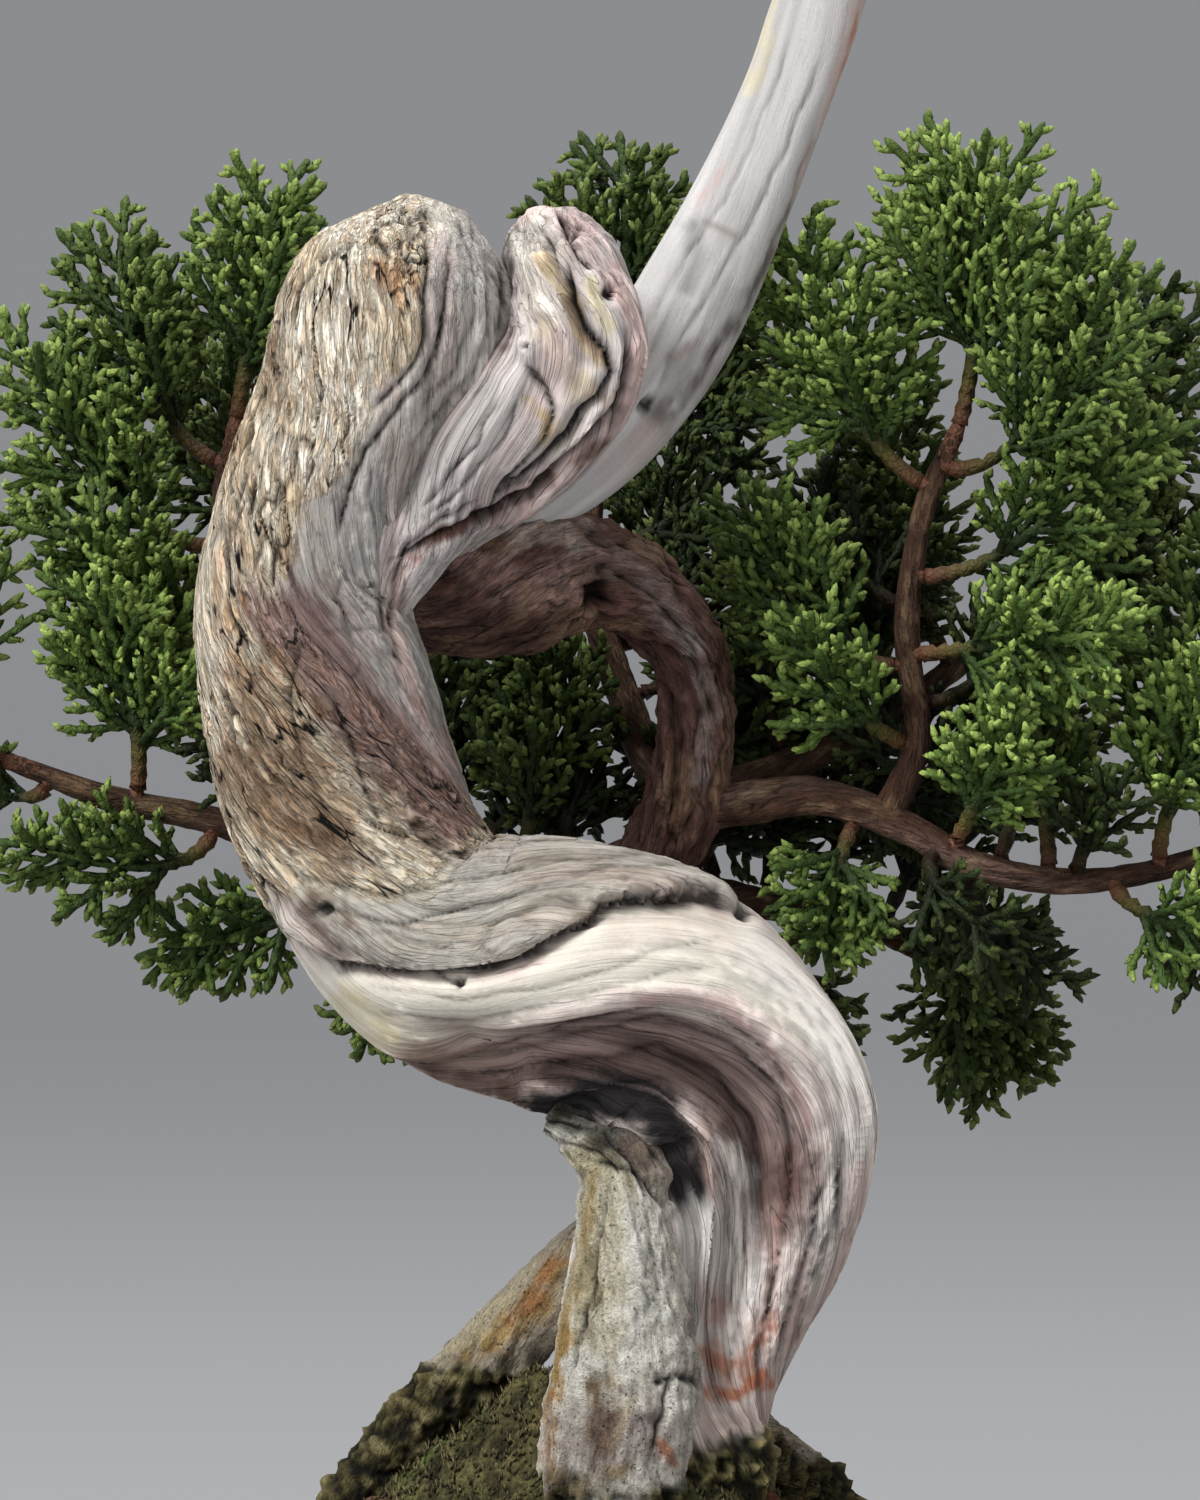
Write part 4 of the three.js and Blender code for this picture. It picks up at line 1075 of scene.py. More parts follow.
LIVE_VEIN = [
    (-9, -5, 77, 1.8, 2.2), (-5.6, -5.6, 75, 2.8, 3.4), (-2, -5.8, 71, 4.5, 4.8), (-1, -5.8, 64, 5.4, 5.5),
    (-1, -6, 55.5, 6.8, 6), (-1.3, -6, 48, 7.6, 6.4), (-2.5, -6, 41, 7.3, 6.4), (-3.2, -4, 31, 6, 5),
]
LEFT_ROOT = [
    (-1, 5, 66.4, 3.2, 3.4), (-6.2, 7, 60.8, 4, 4), (-12, 8.5, 54.8, 4, 4), (-18, 9.2, 48.8, 3.7, 3.8),
    (-24, 9.2, 42.6, 3.2, 3.4), (-29, 8.5, 36.5, 2.8, 3), (-33, 7.5, 28.5, 1.8, 2),
]
BACK_ROOT = [
    (4, 7, 50, 5, 4), (11, 14, 42.5, 3.8, 3.4), (18, 20, 37.4, 2.8, 2.6), (24, 24, 29, 1.6, 1.6),
]
LIVE_BRANCH = [
    (-25, 5, 129, 4.5, 5), (-18.5, 8, 129.5, 6.6, 6), (-12, 11, 130.6, 7.4, 6), (-5.4, 14, 130.6, 5.8, 5.2),
    (0.8, 17, 128.2, 4.6, 4.6), (5, 19.2, 123.4, 4, 4.1), (6, 20.3, 117.6, 3.8, 4), (5.4, 21.2, 111.8, 3.8, 4),
    (3.6, 22.6, 106, 4.2, 4.2), (0.6, 24.6, 101, 3.6, 3.8), (-4, 27.6, 98.6, 2.6, 2.8),
]
RIGHT_BRANCH = [
    (3.5, 22, 107, 3.2, 3.2), (11.5, 22, 107.8, 2.3, 2.3), (19, 20.5, 108.2, 1.9, 1.9),
    (27, 18.5, 105.2, 1.7, 1.7), (35, 17, 101, 1.5, 1.5), (45, 18, 99.6, 1.3, 1.3), (56, 20.5, 101.6, 1.1, 1.1),
    (65, 23, 105.5, 0.8, 0.8),
]
RIGHT_LEADER = [
    (25, 19, 105.8, 1.6, 1.6), (28.4, 19.6, 114, 1.4, 1.4), (27.4, 20.4, 125.5, 1.25, 1.25),
    (29, 20, 137, 1.1, 1.1), (32.6, 20, 146, 0.8, 0.8),
]
RIGHT_BACK = [
    (7, 22, 108.4, 2, 2), (17, 29.5, 112, 1.7, 1.7), (28, 37, 118, 1.4, 1.4), (38, 42, 126, 1.1, 1.1),
    (44, 44, 134, 0.8, 0.8),
]
LEFT_BRANCH = [
    (1, 24.5, 101.5, 3.2, 3.2), (-9, 29, 98.8, 2.4, 2.4), (-20, 30, 98.6, 2, 2), (-32, 28, 101.8, 1.8, 1.8),
    (-44, 25, 105.8, 1.5, 1.5), (-55, 23.5, 108.2, 1.25, 1.25), (-65, 23, 112, 0.8, 0.8),
]
LEFT_LEADER = [
    (-33, 27.8, 102.3, 1.6, 1.6), (-38.6, 30, 113, 1.4, 1.4), (-41, 29.4, 126, 1.25, 1.25),
    (-43, 27.6, 138, 1.05, 1.05), (-41.4, 26, 147, 0.8, 0.8),
]
LEFT_BACK = [
    (-13, 29.6, 98.6, 1.9, 1.9), (-21, 36.5, 103.5, 1.6, 1.6), (-30, 42, 111.5, 1.35, 1.35),
    (-36, 44.5, 121.5, 1.05, 1.05), (-38, 45, 130, 0.8, 0.8),
]
APEX_BRANCH = [
    (1.5, 24.4, 103, 2.7, 2.7), (2.6, 33, 107.5, 2.2, 2.2), (-1, 40, 117, 1.8, 1.8), (-5, 43, 130.5, 1.5, 1.5),
    (-4.4, 42.5, 144, 1.15, 1.15), (-2.4, 41, 152.5, 0.8, 0.8),
]
LOW_BRANCH = [
    (0.5, 25.4, 101.4, 2.5, 2.5), (7, 31.5, 98.4, 1.9, 1.9), (15, 37, 96.6, 1.5, 1.5),
    (23.5, 40.5, 94.6, 1.1, 1.1), (30, 42, 91.6, 0.8, 0.8),
]
LIMBS = [
    RIGHT_BRANCH, RIGHT_LEADER, RIGHT_BACK, LEFT_BRANCH, LEFT_LEADER, LEFT_BACK, APEX_BRANCH, LOW_BRANCH,
]

# Where the bark of the second turn laps over the bleached wood.
LIP_EDGE = [(262, 902), (300, 938), (340, 957), (400, 966), (450, 966), (500, 957), (540, 940), (570, 925)]
LIP_EDGE += [(600, 905), (630, 897), (670, 893), (710, 895), (745, 912)]
# Where the flaking bark of the left side meets the grey strip.
STRIP_EDGE = [(432, 235), (425, 335), (372, 405), (345, 470), (300, 505), (285, 590), (313, 640), (380, 700)]
STRIP_EDGE += [(447, 773), (515, 845)]
TRUNK_ZONES = [
    Zone(
        [(420, 150), (240, 240), (200, 400), (150, 640), (200, 920), (330, 950), (400, 960), (500, 900)]
        + STRIP_EDGE[::-1],
        Tint.BARK_BEIGE, 1.0,
    ),
    Zone(STRIP_EDGE + [(620, 900), (620, 600), (560, 400), (560, 150), (430, 150)], Tint.ASH, 0.3),
    Zone(
        [*LIP_EDGE, (760, 880), (660, 840), (545, 830), (480, 850), (380, 900), (300, 880)],
        Tint.LIP_GREY, 0.35,
    ),
    Zone(
        [(300, 960), (400, 978), (500, 968), (570, 938), (620, 908), (700, 900), (745, 915), (790, 950)]
        + [(835, 1010), (870, 1080), (835, 1080), (800, 1045), (740, 1000), (690, 985), (620, 988), (540, 1012)]
        + [(470, 1040), (340, 1045)],
        Tint.CREAM, 0.0, 12.0, 0.75,
    ),
]
TRUNK_CUTS = [
    Cut([(503, 222), (506, 262), (505, 300), (500, 340)], 7, 0.5, 0.7),
    Cut([(425, 235), (428, 265), (425, 300), (425, 335), (412, 365), (390, 395), (372, 410)], 3.2, 0.9),
    Cut(
        [(450, 250), (448, 300), (440, 350), (425, 380), (390, 420), (365, 450), (352, 480), (345, 510)]
        + [(338, 540)], 3.0, 0.8,
    ),
    Cut([(355, 240), (320, 262), (300, 290), (290, 330)], 3.0, 0.6),
    Cut([(300, 440), (290, 480), (268, 520), (252, 570)], 3.0, 0.6),
    Cut([(470, 215), (488, 260), (490, 320), (474, 372), (442, 415), (405, 452)], 2.6, 0.4, 0.3),
    Cut([(458, 212), (474, 262), (475, 320), (458, 368), (424, 410)], 2.4, 0.35, 0.3),
    Cut(
        [(350, 1020), (400, 1042), (470, 1040), (560, 1012), (640, 990), (700, 990), (760, 1018), (805, 1070),
         (822, 1140)], 13, -0.7, -0.12, False
    ),
    Cut([(430, 1062), (560, 1040), (660, 1020), (730, 1045), (775, 1090), (792, 1160)], 5, 0.5, 0.3),
    Cut([(470, 1078), (570, 1062), (660, 1048), (715, 1075), (750, 1120), (762, 1200)], 4, 0.5, 0.3),
    Cut([(600, 1082), (660, 1078), (705, 1110), (728, 1170), (735, 1260), (728, 1330)], 4, 0.5, 0.35),
    Cut([(455, 1052), (560, 1028), (650, 1006), (720, 1016), (770, 1055), (800, 1110)], 3, 0.4, 0.35),
    Cut([(790, 1150), (785, 1230), (770, 1300), (757, 1370)], 4, 0.6, 0.4),
    Cut([(745, 1180), (744, 1260), (737, 1330), (724, 1390)], 4, 0.5, 0.3),
    Cut([(822, 1180), (810, 1250), (790, 1320), (772, 1380)], 4, 0.6, 0.35),
    Cut([(846, 1130), (838, 1210), (814, 1290)], 4, 0.5, 0.3),
    Cut([(500, 505), (450, 528), (415, 550), (398, 580), (392, 620), (402, 670)], 3.4, 0.7),
    Cut([(470, 498), (425, 522), (396, 552), (382, 600), (388, 640)], 3.0, 0.5),
    Cut([(335, 700), (352, 740), (366, 790), (384, 830)], 3.0, 0.8),
    Cut([(300, 640), (290, 700), (300, 760), (330, 820)], 3.0, 0.6),
    Cut([(432, 968), (448, 978), (466, 984)], 2.2, 0.3, 0.4),
    Cut([(455, 982), (464, 983)], 6, 0.9, 0.7, False),
    Cut([(738, 910), (752, 916)], 6, 1.2, 0.8, False),
    Cut([(320, 905), (332, 912)], 8, 1.0, 0.7, False),
    Cut([(360, 985), (460, 1000), (560, 985), (660, 950), (730, 935)], 2.2, 0.25, 0.25),
    Cut([(370, 1012), (470, 1022), (570, 998), (670, 968), (740, 968)], 2.2, 0.25, 0.22),
    Cut([(300, 900), (400, 925), (500, 900), (600, 872), (690, 874)], 2.6, 0.4, 0.35),
    Cut([(280, 870), (380, 895), (480, 880), (560, 860), (640, 862)], 2.6, 0.4, 0.35),
]
TRUNK_STAINS_AND_SHADING = [
    # Pale bark on the first lobe's top, painted lighter there as a highlight where the light falls.
    StainAndShading([(345, 225), (400, 200), (440, 205)], 34, Tint.BARK_PALE),
    StainAndShading([(330, 320), (350, 380), (330, 420), (300, 450)], 40, Tint.BARK_PALE, 0.75),
    StainAndShading([(215, 520), (205, 600), (212, 700), (235, 790)], 26, Tint.BARK_PALE, 0.5),
    StainAndShading([(290, 620), (340, 690), (390, 745), (450, 810)], 48, Tint.BARK_PURPLE, 0.9),
    StainAndShading([(330, 730), (370, 780), (410, 820)], 30, Tint.MAUVE_DARK, 0.4),
    StainAndShading([(262, 690), (290, 760), (320, 820)], 46, Tint.BARK_BROWN, 0.75),
    StainAndShading([(235, 770), (275, 830), (330, 865)], 34, Tint.BARK_BROWN, 0.8),
    StainAndShading([(270, 860), (350, 880), (440, 870)], 28, Tint.BARK_BEIGE, 0.6),
    StainAndShading([(262, 762), (300, 815), (345, 850)], 44, Tint.UMBER, 0.28),
    StainAndShading([(404, 460), (411, 520), (426, 590)], 30, Tint.MAUVE, 0.42),
    StainAndShading([(318, 905), (330, 915)], 22, Tint.UMBER, 0.8),
    StainAndShading([(385, 275), (406, 292)], 22, Tint.STAIN_TAN, 0.75),
    StainAndShading([(278, 290), (272, 340), (280, 400)], 16, Tint.UMBER, 0.5),
    StainAndShading([(235, 520), (222, 600), (232, 680)], 14, Tint.STAIN_TAN, 0.4),
    StainAndShading([(480, 240), (500, 300), (480, 380), (430, 440)], 22, Tint.BONE, 0.35),
    StainAndShading([(360, 480), (345, 560), (370, 640)], 18, Tint.LILAC, 0.5),
    StainAndShading([(395, 560), (392, 620), (415, 700), (450, 760)], 10, Tint.PINK, 0.55),
    StainAndShading([(620, 930), (700, 920), (770, 950), (820, 1010)], 20, Tint.PINK, 0.25),
    StainAndShading([(345, 1000), (380, 1030), (430, 1052), (490, 1058)], 16, Tint.CREAM_YELLOW, 0.7),
    StainAndShading([(760, 945), (820, 1010), (852, 1080), (860, 1140)], 26, Tint.BONE, 0.6),
    StainAndShading(
        [(430, 1070), (540, 1060), (640, 1042), (710, 1060), (760, 1110), (785, 1170), (780, 1215)],
        44, Tint.MAUVE, 0.85
    ),
    # Dark mauve along the deepest line of the hollow under the bend: the wood's own colour, painted darker there
    # as shade.
    StainAndShading([(560, 1075), (640, 1062), (700, 1080), (745, 1130), (765, 1190)], 28, Tint.MAUVE_DARK, 0.8),
    StainAndShading([(390, 1062), (470, 1086), (545, 1100)], 14, Tint.UMBER, 0.75),
    StainAndShading([(640, 1000), (720, 1005), (780, 1060), (806, 1130)], 7, Tint.PINK, 0.6),
    # Painted shade: black in the hollow where the vein's rim meets the trunk.
    StainAndShading([(545, 1115), (600, 1095), (650, 1105), (678, 1140), (688, 1195)], 30, Tint.CHAR, 1.0),
    StainAndShading([(704, 1120), (712, 1200), (716, 1300)], 8, Tint.PINK, 0.6),
    StainAndShading([(740, 1150), (742, 1230), (748, 1300)], 13, Tint.BONE, 0.75),
    StainAndShading([(788, 1150), (780, 1230), (766, 1300), (745, 1375)], 8, Tint.STREAK, 0.55),
    StainAndShading([(728, 1200), (728, 1290), (718, 1370)], 6, Tint.STREAK, 0.5),
    # Bone-pale wood low in the valley, painted paler than it is, as light on a place that the deep valley leaves
    # in shade.
    StainAndShading([(704, 1230), (702, 1310), (712, 1350)], 34, Tint.BONE, 0.95),
    StainAndShading([(762, 1260), (748, 1330)], 12, Tint.BONE, 0.5),
    StainAndShading([(850, 1140), (832, 1210), (800, 1300)], 18, Tint.BONE, 0.6),
    StainAndShading([(808, 1260), (790, 1340)], 14, Tint.PINK, 0.55),
    StainAndShading([(700, 1352), (726, 1366), (752, 1352), (776, 1318)], 9, Tint.RUST, 0.65),
    StainAndShading([(708, 1290), (718, 1340)], 14, Tint.PINK, 0.5),
    StainAndShading([(706, 1392), (736, 1394), (764, 1376)], 9, Tint.RUST, 0.85),
    StainAndShading([(722, 1310), (716, 1350), (712, 1386)], 13, Tint.RUST, 0.35),
    StainAndShading([(752, 1335), (745, 1374)], 16, Tint.RUST, 0.35),
    StainAndShading([(715, 1425), (760, 1415)], 14, Tint.PINK, 0.5),
    StainAndShading([(660, 1480), (720, 1465), (780, 1450)], 26, Tint.MOSS_DARK, 0.9),
]
HOOK_CUTS = [
    Cut([(503, 222), (508, 262), (507, 300)], 7, 0.3, 0.8),
    Cut([(532, 222), (556, 214)], 12, -1.0, -0.15, False),
    Cut([(538, 250), (545, 290), (548, 320)], 14, -0.8, -0.12, False),
    Cut([(518, 340), (530, 350)], 8, -0.7, -0.1, False),
    Cut(
        [(568, 262), (573, 300), (588, 330), (606, 350), (612, 372), (598, 396), (580, 412), (568, 430),
         (543, 458), (520, 480), (494, 500)], 4.2, 1.8, 0.85
    ),
    Cut([(522, 362), (543, 385), (554, 408), (545, 434), (512, 480), (488, 508), (462, 526)], 3.2, 1.1, 0.65),
    Cut(
        [(626, 334), (628, 370), (614, 407), (587, 436), (532, 489), (478, 521), (424, 543), (392, 562)],
        4.4, 1.6, 0.75
    ),
    Cut([(594, 360), (586, 390), (562, 412), (546, 440), (512, 490)], 13, -1.0, -0.12, False),
    Cut([(618, 330), (620, 370), (604, 404), (580, 432), (530, 482), (470, 515)], 9, -0.9, -0.12, False),
    Cut([(638, 330), (640, 372), (622, 415), (590, 450), (540, 500), (470, 535)], 9, -0.7, -0.1, False),
    Cut([(557, 213), (566, 226), (571, 238)], 3.6, 1.6, 0.85),
    Cut([(582, 226), (571, 238), (578, 256), (592, 270)], 3.4, 1.2, 0.7),
    Cut([(545, 232), (556, 262), (572, 288)], 2.8, 0.6),
    Cut([(604, 290), (616, 296)], 7, 1.3, 0.85, False),
    Cut([(526, 345), (530, 348)], 4, 0.9, 0.7, False),
    Cut([(500, 398), (478, 440), (450, 478), (420, 510)], 3.2, 0.6, 0.35),
    Cut([(520, 400), (505, 440), (470, 480), (430, 515)], 2.8, 0.5, 0.3),
    Cut([(480, 500), (440, 520), (405, 548), (392, 590)], 3.0, 0.6, 0.4),
]
HOOK_STAINS_AND_SHADING = [
    StainAndShading([(525, 235), (540, 262), (548, 310)], 30, Tint.CREAM, 0.6),
    StainAndShading([(520, 370), (530, 400), (520, 440), (490, 480)], 20, Tint.BONE, 0.35),
    StainAndShading([(592, 375), (575, 410), (548, 450)], 13, Tint.CREAM, 0.45),
    StainAndShading([(616, 275), (640, 320), (640, 372), (616, 425), (570, 470), (500, 520)], 17, Tint.PINK, 0.7),
    StainAndShading([(528, 400), (548, 420), (540, 440)], 7, Tint.OCHRE, 0.6),
    StainAndShading([(543, 258), (557, 278), (572, 300), (578, 330), (603, 362)], 9, Tint.OCHRE, 0.55),
    StainAndShading([(548, 330), (570, 372), (590, 392)], 14, Tint.OCHRE, 0.35),
    StainAndShading([(566, 300), (586, 336), (604, 356)], 6, Tint.UMBER, 0.55),
    StainAndShading([(590, 285), (606, 325)], 9, Tint.CREAM_YELLOW, 0.7),
    StainAndShading([(520, 216), (560, 210), (590, 232)], 12, Tint.PINK, 0.6),
    StainAndShading([(562, 222), (574, 244)], 7, Tint.UMBER, 0.85),
    # Painted shadow in the groove between the dome and the folded lobe.
    StainAndShading([(503, 250), (506, 300), (500, 340)], 9, Tint.MAUVE_DARK, 0.6),
    StainAndShading([(490, 400), (450, 450), (420, 500)], 26, Tint.ASH, 0.6),
    StainAndShading([(560, 478), (500, 512), (430, 540), (400, 575), (392, 620)], 9, Tint.MAUVE, 0.75),
    StainAndShading([(600, 440), (540, 490), (470, 525), (420, 548)], 6, Tint.UMBER, 0.75),
    StainAndShading([(476, 520), (440, 536), (410, 560)], 7, Tint.STREAK, 0.5),
]
SPIKE_CUTS = [
    Cut([(655, 398), (672, 352), (712, 290), (752, 222), (790, 140), (822, 60)], 2.6, 0.35, 0.22),
    Cut([(640, 340), (680, 270), (730, 190), (770, 100), (790, 40)], 2.6, 0.3, 0.15),
    Cut([(700, 380), (748, 305), (786, 220), (815, 130)], 2.6, 0.35, 0.2),
    Cut([(640, 400), (652, 408)], 8, 1.2, 0.6, False),
    Cut([(690, 215), (700, 260), (690, 300)], 12, 0.5, 0.1, False),
]
SPIKE_STAINS_AND_SHADING = [
    # Painted shade on the spike's lower and right side, darkest along its right edge.
    StainAndShading([(650, 420), (690, 360), (730, 300)], 20, Tint.ASH, 0.7),
    StainAndShading([(700, 400), (752, 320), (790, 230)], 12, Tint.MAUVE, 0.4),
    StainAndShading([(690, 310), (720, 250), (745, 190)], 12, Tint.ASH, 0.5),
    StainAndShading([(794, 212), (770, 262), (738, 318), (702, 372), (658, 420)], 9, Tint.MAUVE_DARK, 0.6),
    StainAndShading([(724, 168), (698, 202)], 5, Tint.PINK, 0.5),
    StainAndShading([(703, 222), (734, 236)], 5, Tint.UMBER, 0.4),
    StainAndShading([(668, 358), (704, 332)], 5, Tint.MAUVE, 0.5),
    StainAndShading([(800, 200), (826, 120), (846, 50), (862, 0)], 9, Tint.PINK, 0.7),
    StainAndShading([(836, 100), (850, 50), (866, 0)], 5, Tint.RUST, 0.6),
    StainAndShading([(772, 0), (766, 40), (750, 90)], 10, Tint.CREAM_YELLOW, 0.55),
    StainAndShading([(610, 470), (650, 440)], 22, Tint.PINK, 0.4),
]
VEIN_CUTS = [
    Cut([(535, 1120), (570, 1126), (605, 1136), (632, 1160), (650, 1198)], 2.8, 0.8, 0.4),
    Cut([(545, 1104), (590, 1113), (628, 1131), (660, 1166)], 2.8, 0.7, 0.4),
    Cut([(556, 1141), (596, 1150), (622, 1176)], 2.8, 0.6, 0.4),
    Cut([(575, 1140), (610, 1130), (650, 1150), (672, 1185)], 9, -1.1, -0.1, False),
    Cut([(600, 1118), (640, 1124), (668, 1150), (684, 1190)], 8, 1.6, 0.7, False),
    Cut([(590, 1160), (640, 1172), (668, 1210)], 4, 0.8),
    Cut([(608, 1180), (600, 1240), (585, 1310), (570, 1380)], 3, 0.5, 0.35),
    Cut([(672, 1210), (690, 1270), (697, 1330)], 3, 0.6, 0.45),
    Cut([(655, 1385), (680, 1375), (700, 1382)], 3, 1.0, 0.7),
    Cut([(672, 1378), (664, 1410), (652, 1450)], 3, 0.8, 0.6),
]
VEIN_STAINS_AND_SHADING = [
    StainAndShading([(585, 1160), (580, 1230), (575, 1300)], 26, Tint.CREAM_YELLOW, 0.8),
    StainAndShading([(596, 1175), (584, 1240), (562, 1320), (546, 1400), (532, 1470)], 8, Tint.OCHRE, 0.8),
    StainAndShading([(625, 1150), (650, 1165), (672, 1200)], 12, Tint.CREAM_YELLOW, 0.5),
    # Painted shade: black in the hollow where the vein's rim meets the trunk.
    StainAndShading([(560, 1110), (610, 1098), (655, 1110), (680, 1150), (688, 1200)], 15, Tint.CHAR, 0.96),
    StainAndShading([(532, 1110), (566, 1112), (604, 1124), (634, 1148)], 30, Tint.MOSS_DARK, 0.85),
    StainAndShading([(640, 1150), (656, 1176)], 22, Tint.MAUVE, 0.6),
    StainAndShading([(588, 1262), (592, 1300), (585, 1330)], 6, Tint.UMBER, 0.7),
    StainAndShading([(604, 1394), (616, 1412), (606, 1430)], 22, Tint.OCHRE, 0.7),
    StainAndShading([(600, 1390), (614, 1404), (600, 1426)], 14, Tint.UMBER, 0.7),
    StainAndShading([(562, 1330), (554, 1400), (550, 1460)], 9, Tint.OCHRE, 0.9),
    StainAndShading([(548, 1400), (545, 1450), (560, 1490)], 12, Tint.RUST, 0.5),
    StainAndShading([(545, 1470), (580, 1485), (630, 1470)], 9, Tint.OCHRE, 0.6),
    StainAndShading([(690, 1300), (700, 1350), (705, 1395)], 7, Tint.MAUVE, 0.6),
    # Painted shade: black in a small hollow low on the vein.
    StainAndShading([(690, 1378), (712, 1392)], 9, Tint.CHAR, 0.8),
    StainAndShading([(640, 1420), (660, 1450)], 16, Tint.LILAC, 0.6),
    StainAndShading([(612, 1180), (604, 1250), (598, 1330)], 30, Tint.CREAM_YELLOW, 0.45),
    StainAndShading([(578, 1428), (616, 1444), (652, 1428)], 34, Tint.MAUVE, 0.5),
    StainAndShading([(570, 1462), (610, 1476), (648, 1466)], 22, Tint.UMBER, 0.4),
    StainAndShading([(662, 1444), (672, 1462)], 8, Tint.RUST, 0.75),
]
BRANCH_CUTS = [
    Cut([(598, 580), (604, 612)], 13, 3.0, 0.95, False),
    Cut([(640, 640), (690, 660), (716, 720)], 4, 0.7),
    Cut([(600, 560), (660, 600), (700, 660)], 4, 0.6),
]
BRANCH_STAINS = [
    StainAndShading([(420, 570), (470, 620), (520, 650)], 34, Tint.RED_DARK, 0.7),
    StainAndShading([(520, 520), (580, 540)], 22, Tint.PINK_GREY, 0.45),
    StainAndShading([(470, 560), (520, 586), (570, 580)], 22, Tint.PINK, 0.35),
    StainAndShading([(610, 560), (650, 585), (690, 640)], 20, Tint.LILAC, 0.22),
    StainAndShading([(690, 640), (712, 700), (700, 780)], 14, Tint.LILAC, 0.3),
]
ROOT_STAINS = [
    StainAndShading([(575, 1250), (520, 1310), (470, 1360)], 16, Tint.OCHRE, 0.85),
    StainAndShading([(560, 1260), (510, 1320)], 8, Tint.RUST, 0.5),
    StainAndShading([(530, 1262), (470, 1330), (420, 1385)], 9, Tint.CREAM_YELLOW, 0.7),
    StainAndShading([(440, 1420), (380, 1470)], 22, Tint.MOSS, 0.85),
    StainAndShading([(500, 1365), (440, 1430)], 12, Tint.MOSS_DARK, 0.85),
]


@dataclass
class TreeWood:
    """All the wood of the tree, in pieces that overlap like the folds of the real one."""

    node: str = "tree_wood"
    slot: str = "wood"

    def trunk(self) -> Piece:
        """The twisted trunk from the soil to its first lobe."""
        strand = Strand(
            TRUNK, 230, 0.425, Tint.PINK_GREY, 0.035, 4, 1.1, True, 0.0, 0.5, seed=3, moss_level=44,
            zones=TRUNK_ZONES, cuts=TRUNK_CUTS, lips=[Lip(LIP_EDGE, 40, 1.9)], stains_and_shading=TRUNK_STAINS_AND_SHADING,
        )
        return joined("trunk", [strand.build("trunk")])

    def hook(self) -> Piece:
        """The second lobe with its sweeping folds."""
        strand = Strand(
            HOOK, 210, 0.3, Tint.LILAC, 0.07, 4, 0.5, True, 0.0, 0.5, seed=5, cuts=HOOK_CUTS, stains_and_shading=HOOK_STAINS_AND_SHADING
        )
        return joined("folded_lobe", [strand.build("folded_lobe")])

    def spike(self) -> Piece:
        """The dead spike and its fork."""
        whole = Strand(
            SPIKE, 84, 0.68, Tint.SPIKE_GREY, 0.08, 3, 0.4, folds=0.3, blush=0.15, calm=0.82, seed=7,
            cuts=SPIKE_CUTS, stains_and_shading=SPIKE_STAINS_AND_SHADING,
        )
        fork = Strand(SPIKE_FORK, 40, 0.5, Tint.SPIKE_GREY, folds=0.3, blush=0.1, calm=0.5, seed=9)
        return joined("dead_spike", [whole.build("spike"), fork.build("fork")])

    def vein(self) -> Piece:
        """The strip of living bark at the foot, under a crust of lichen."""
        strand = Strand(
            LIVE_VEIN, 164, 0.36, Tint.LICHEN, 0.05, 3, 0.1, bark=0.3, folds=0.3, plate=(2.8, 4.2), cracks=0.5,
            crust=0.62, blush=0.0, moss_level=40.5, seed=11, cuts=VEIN_CUTS, stains_and_shading=VEIN_STAINS_AND_SHADING,
        )
        return joined("live_vein", [strand.build("live_vein")])

    def roots(self) -> Piece:
        """The two roots that show above the soil."""
        left = Strand(
            LEFT_ROOT, 76, 0.45, Tint.BARK_BEIGE, 0.06, 2, 0.5, bark=0.4, folds=0.5, crust=0.3, moss_level=52,
            seed=13, stains_and_shading=ROOT_STAINS,
        )
        back = Strand(
            BACK_ROOT, 50, 0.6, Tint.BARK_BEIGE, bark=0.7, folds=0.4, crust=0.2, moss_level=42, seed=15
        )
        return joined("bare_roots", [left.build("left_root"), back.build("back_root")])

    def branch(self) -> Piece:
        """The live branch that drops behind the trunk, and its limbs."""
        parts = [
            Strand(
                LIVE_BRANCH, 96, 0.55, Tint.RED_BARK, 0.08, 3, 0.7, bark=0.55, folds=1.2, plate=(3.4, 7.0),
                cracks=0.6, crust=0.7, seed=17, cuts=BRANCH_CUTS, stains_and_shading=BRANCH_STAINS,
            ).build("live_branch")
        ]
        for number, stations in enumerate(LIMBS):
            # The limbs' bark is painted darker than the twigs', as the shade inside the crown.
            limb = Strand(
                stations, 18, 0.9, Tint.TWIG_DARK, bark=0.6, folds=0.3, plate=(1.4, 4.0), cracks=0.15,
                seed=30 + number,
            )
            parts.append(limb.build("limb"))
        return joined("live_branches", parts)

    def build(self) -> None:
        """Builds and dresses every piece of wood."""
        weathered = WoodFinish("weathered_wood").material()
        crusted = WoodFinish("lichen_crust", 0.35, 1.0, 0.0008).material()
        living = WoodFinish("living_bark", 0.7, 0.3, 0.0004).material()
        for piece, material in (
            (self.trunk(), weathered),
            (self.hook(), weathered),
            (self.spike(), weathered),
            (self.vein(), crusted),
            (self.roots(), crusted),
            (self.branch(), living),
        ):
            finished(piece, material, self.slot, [self.node])


# Foliage


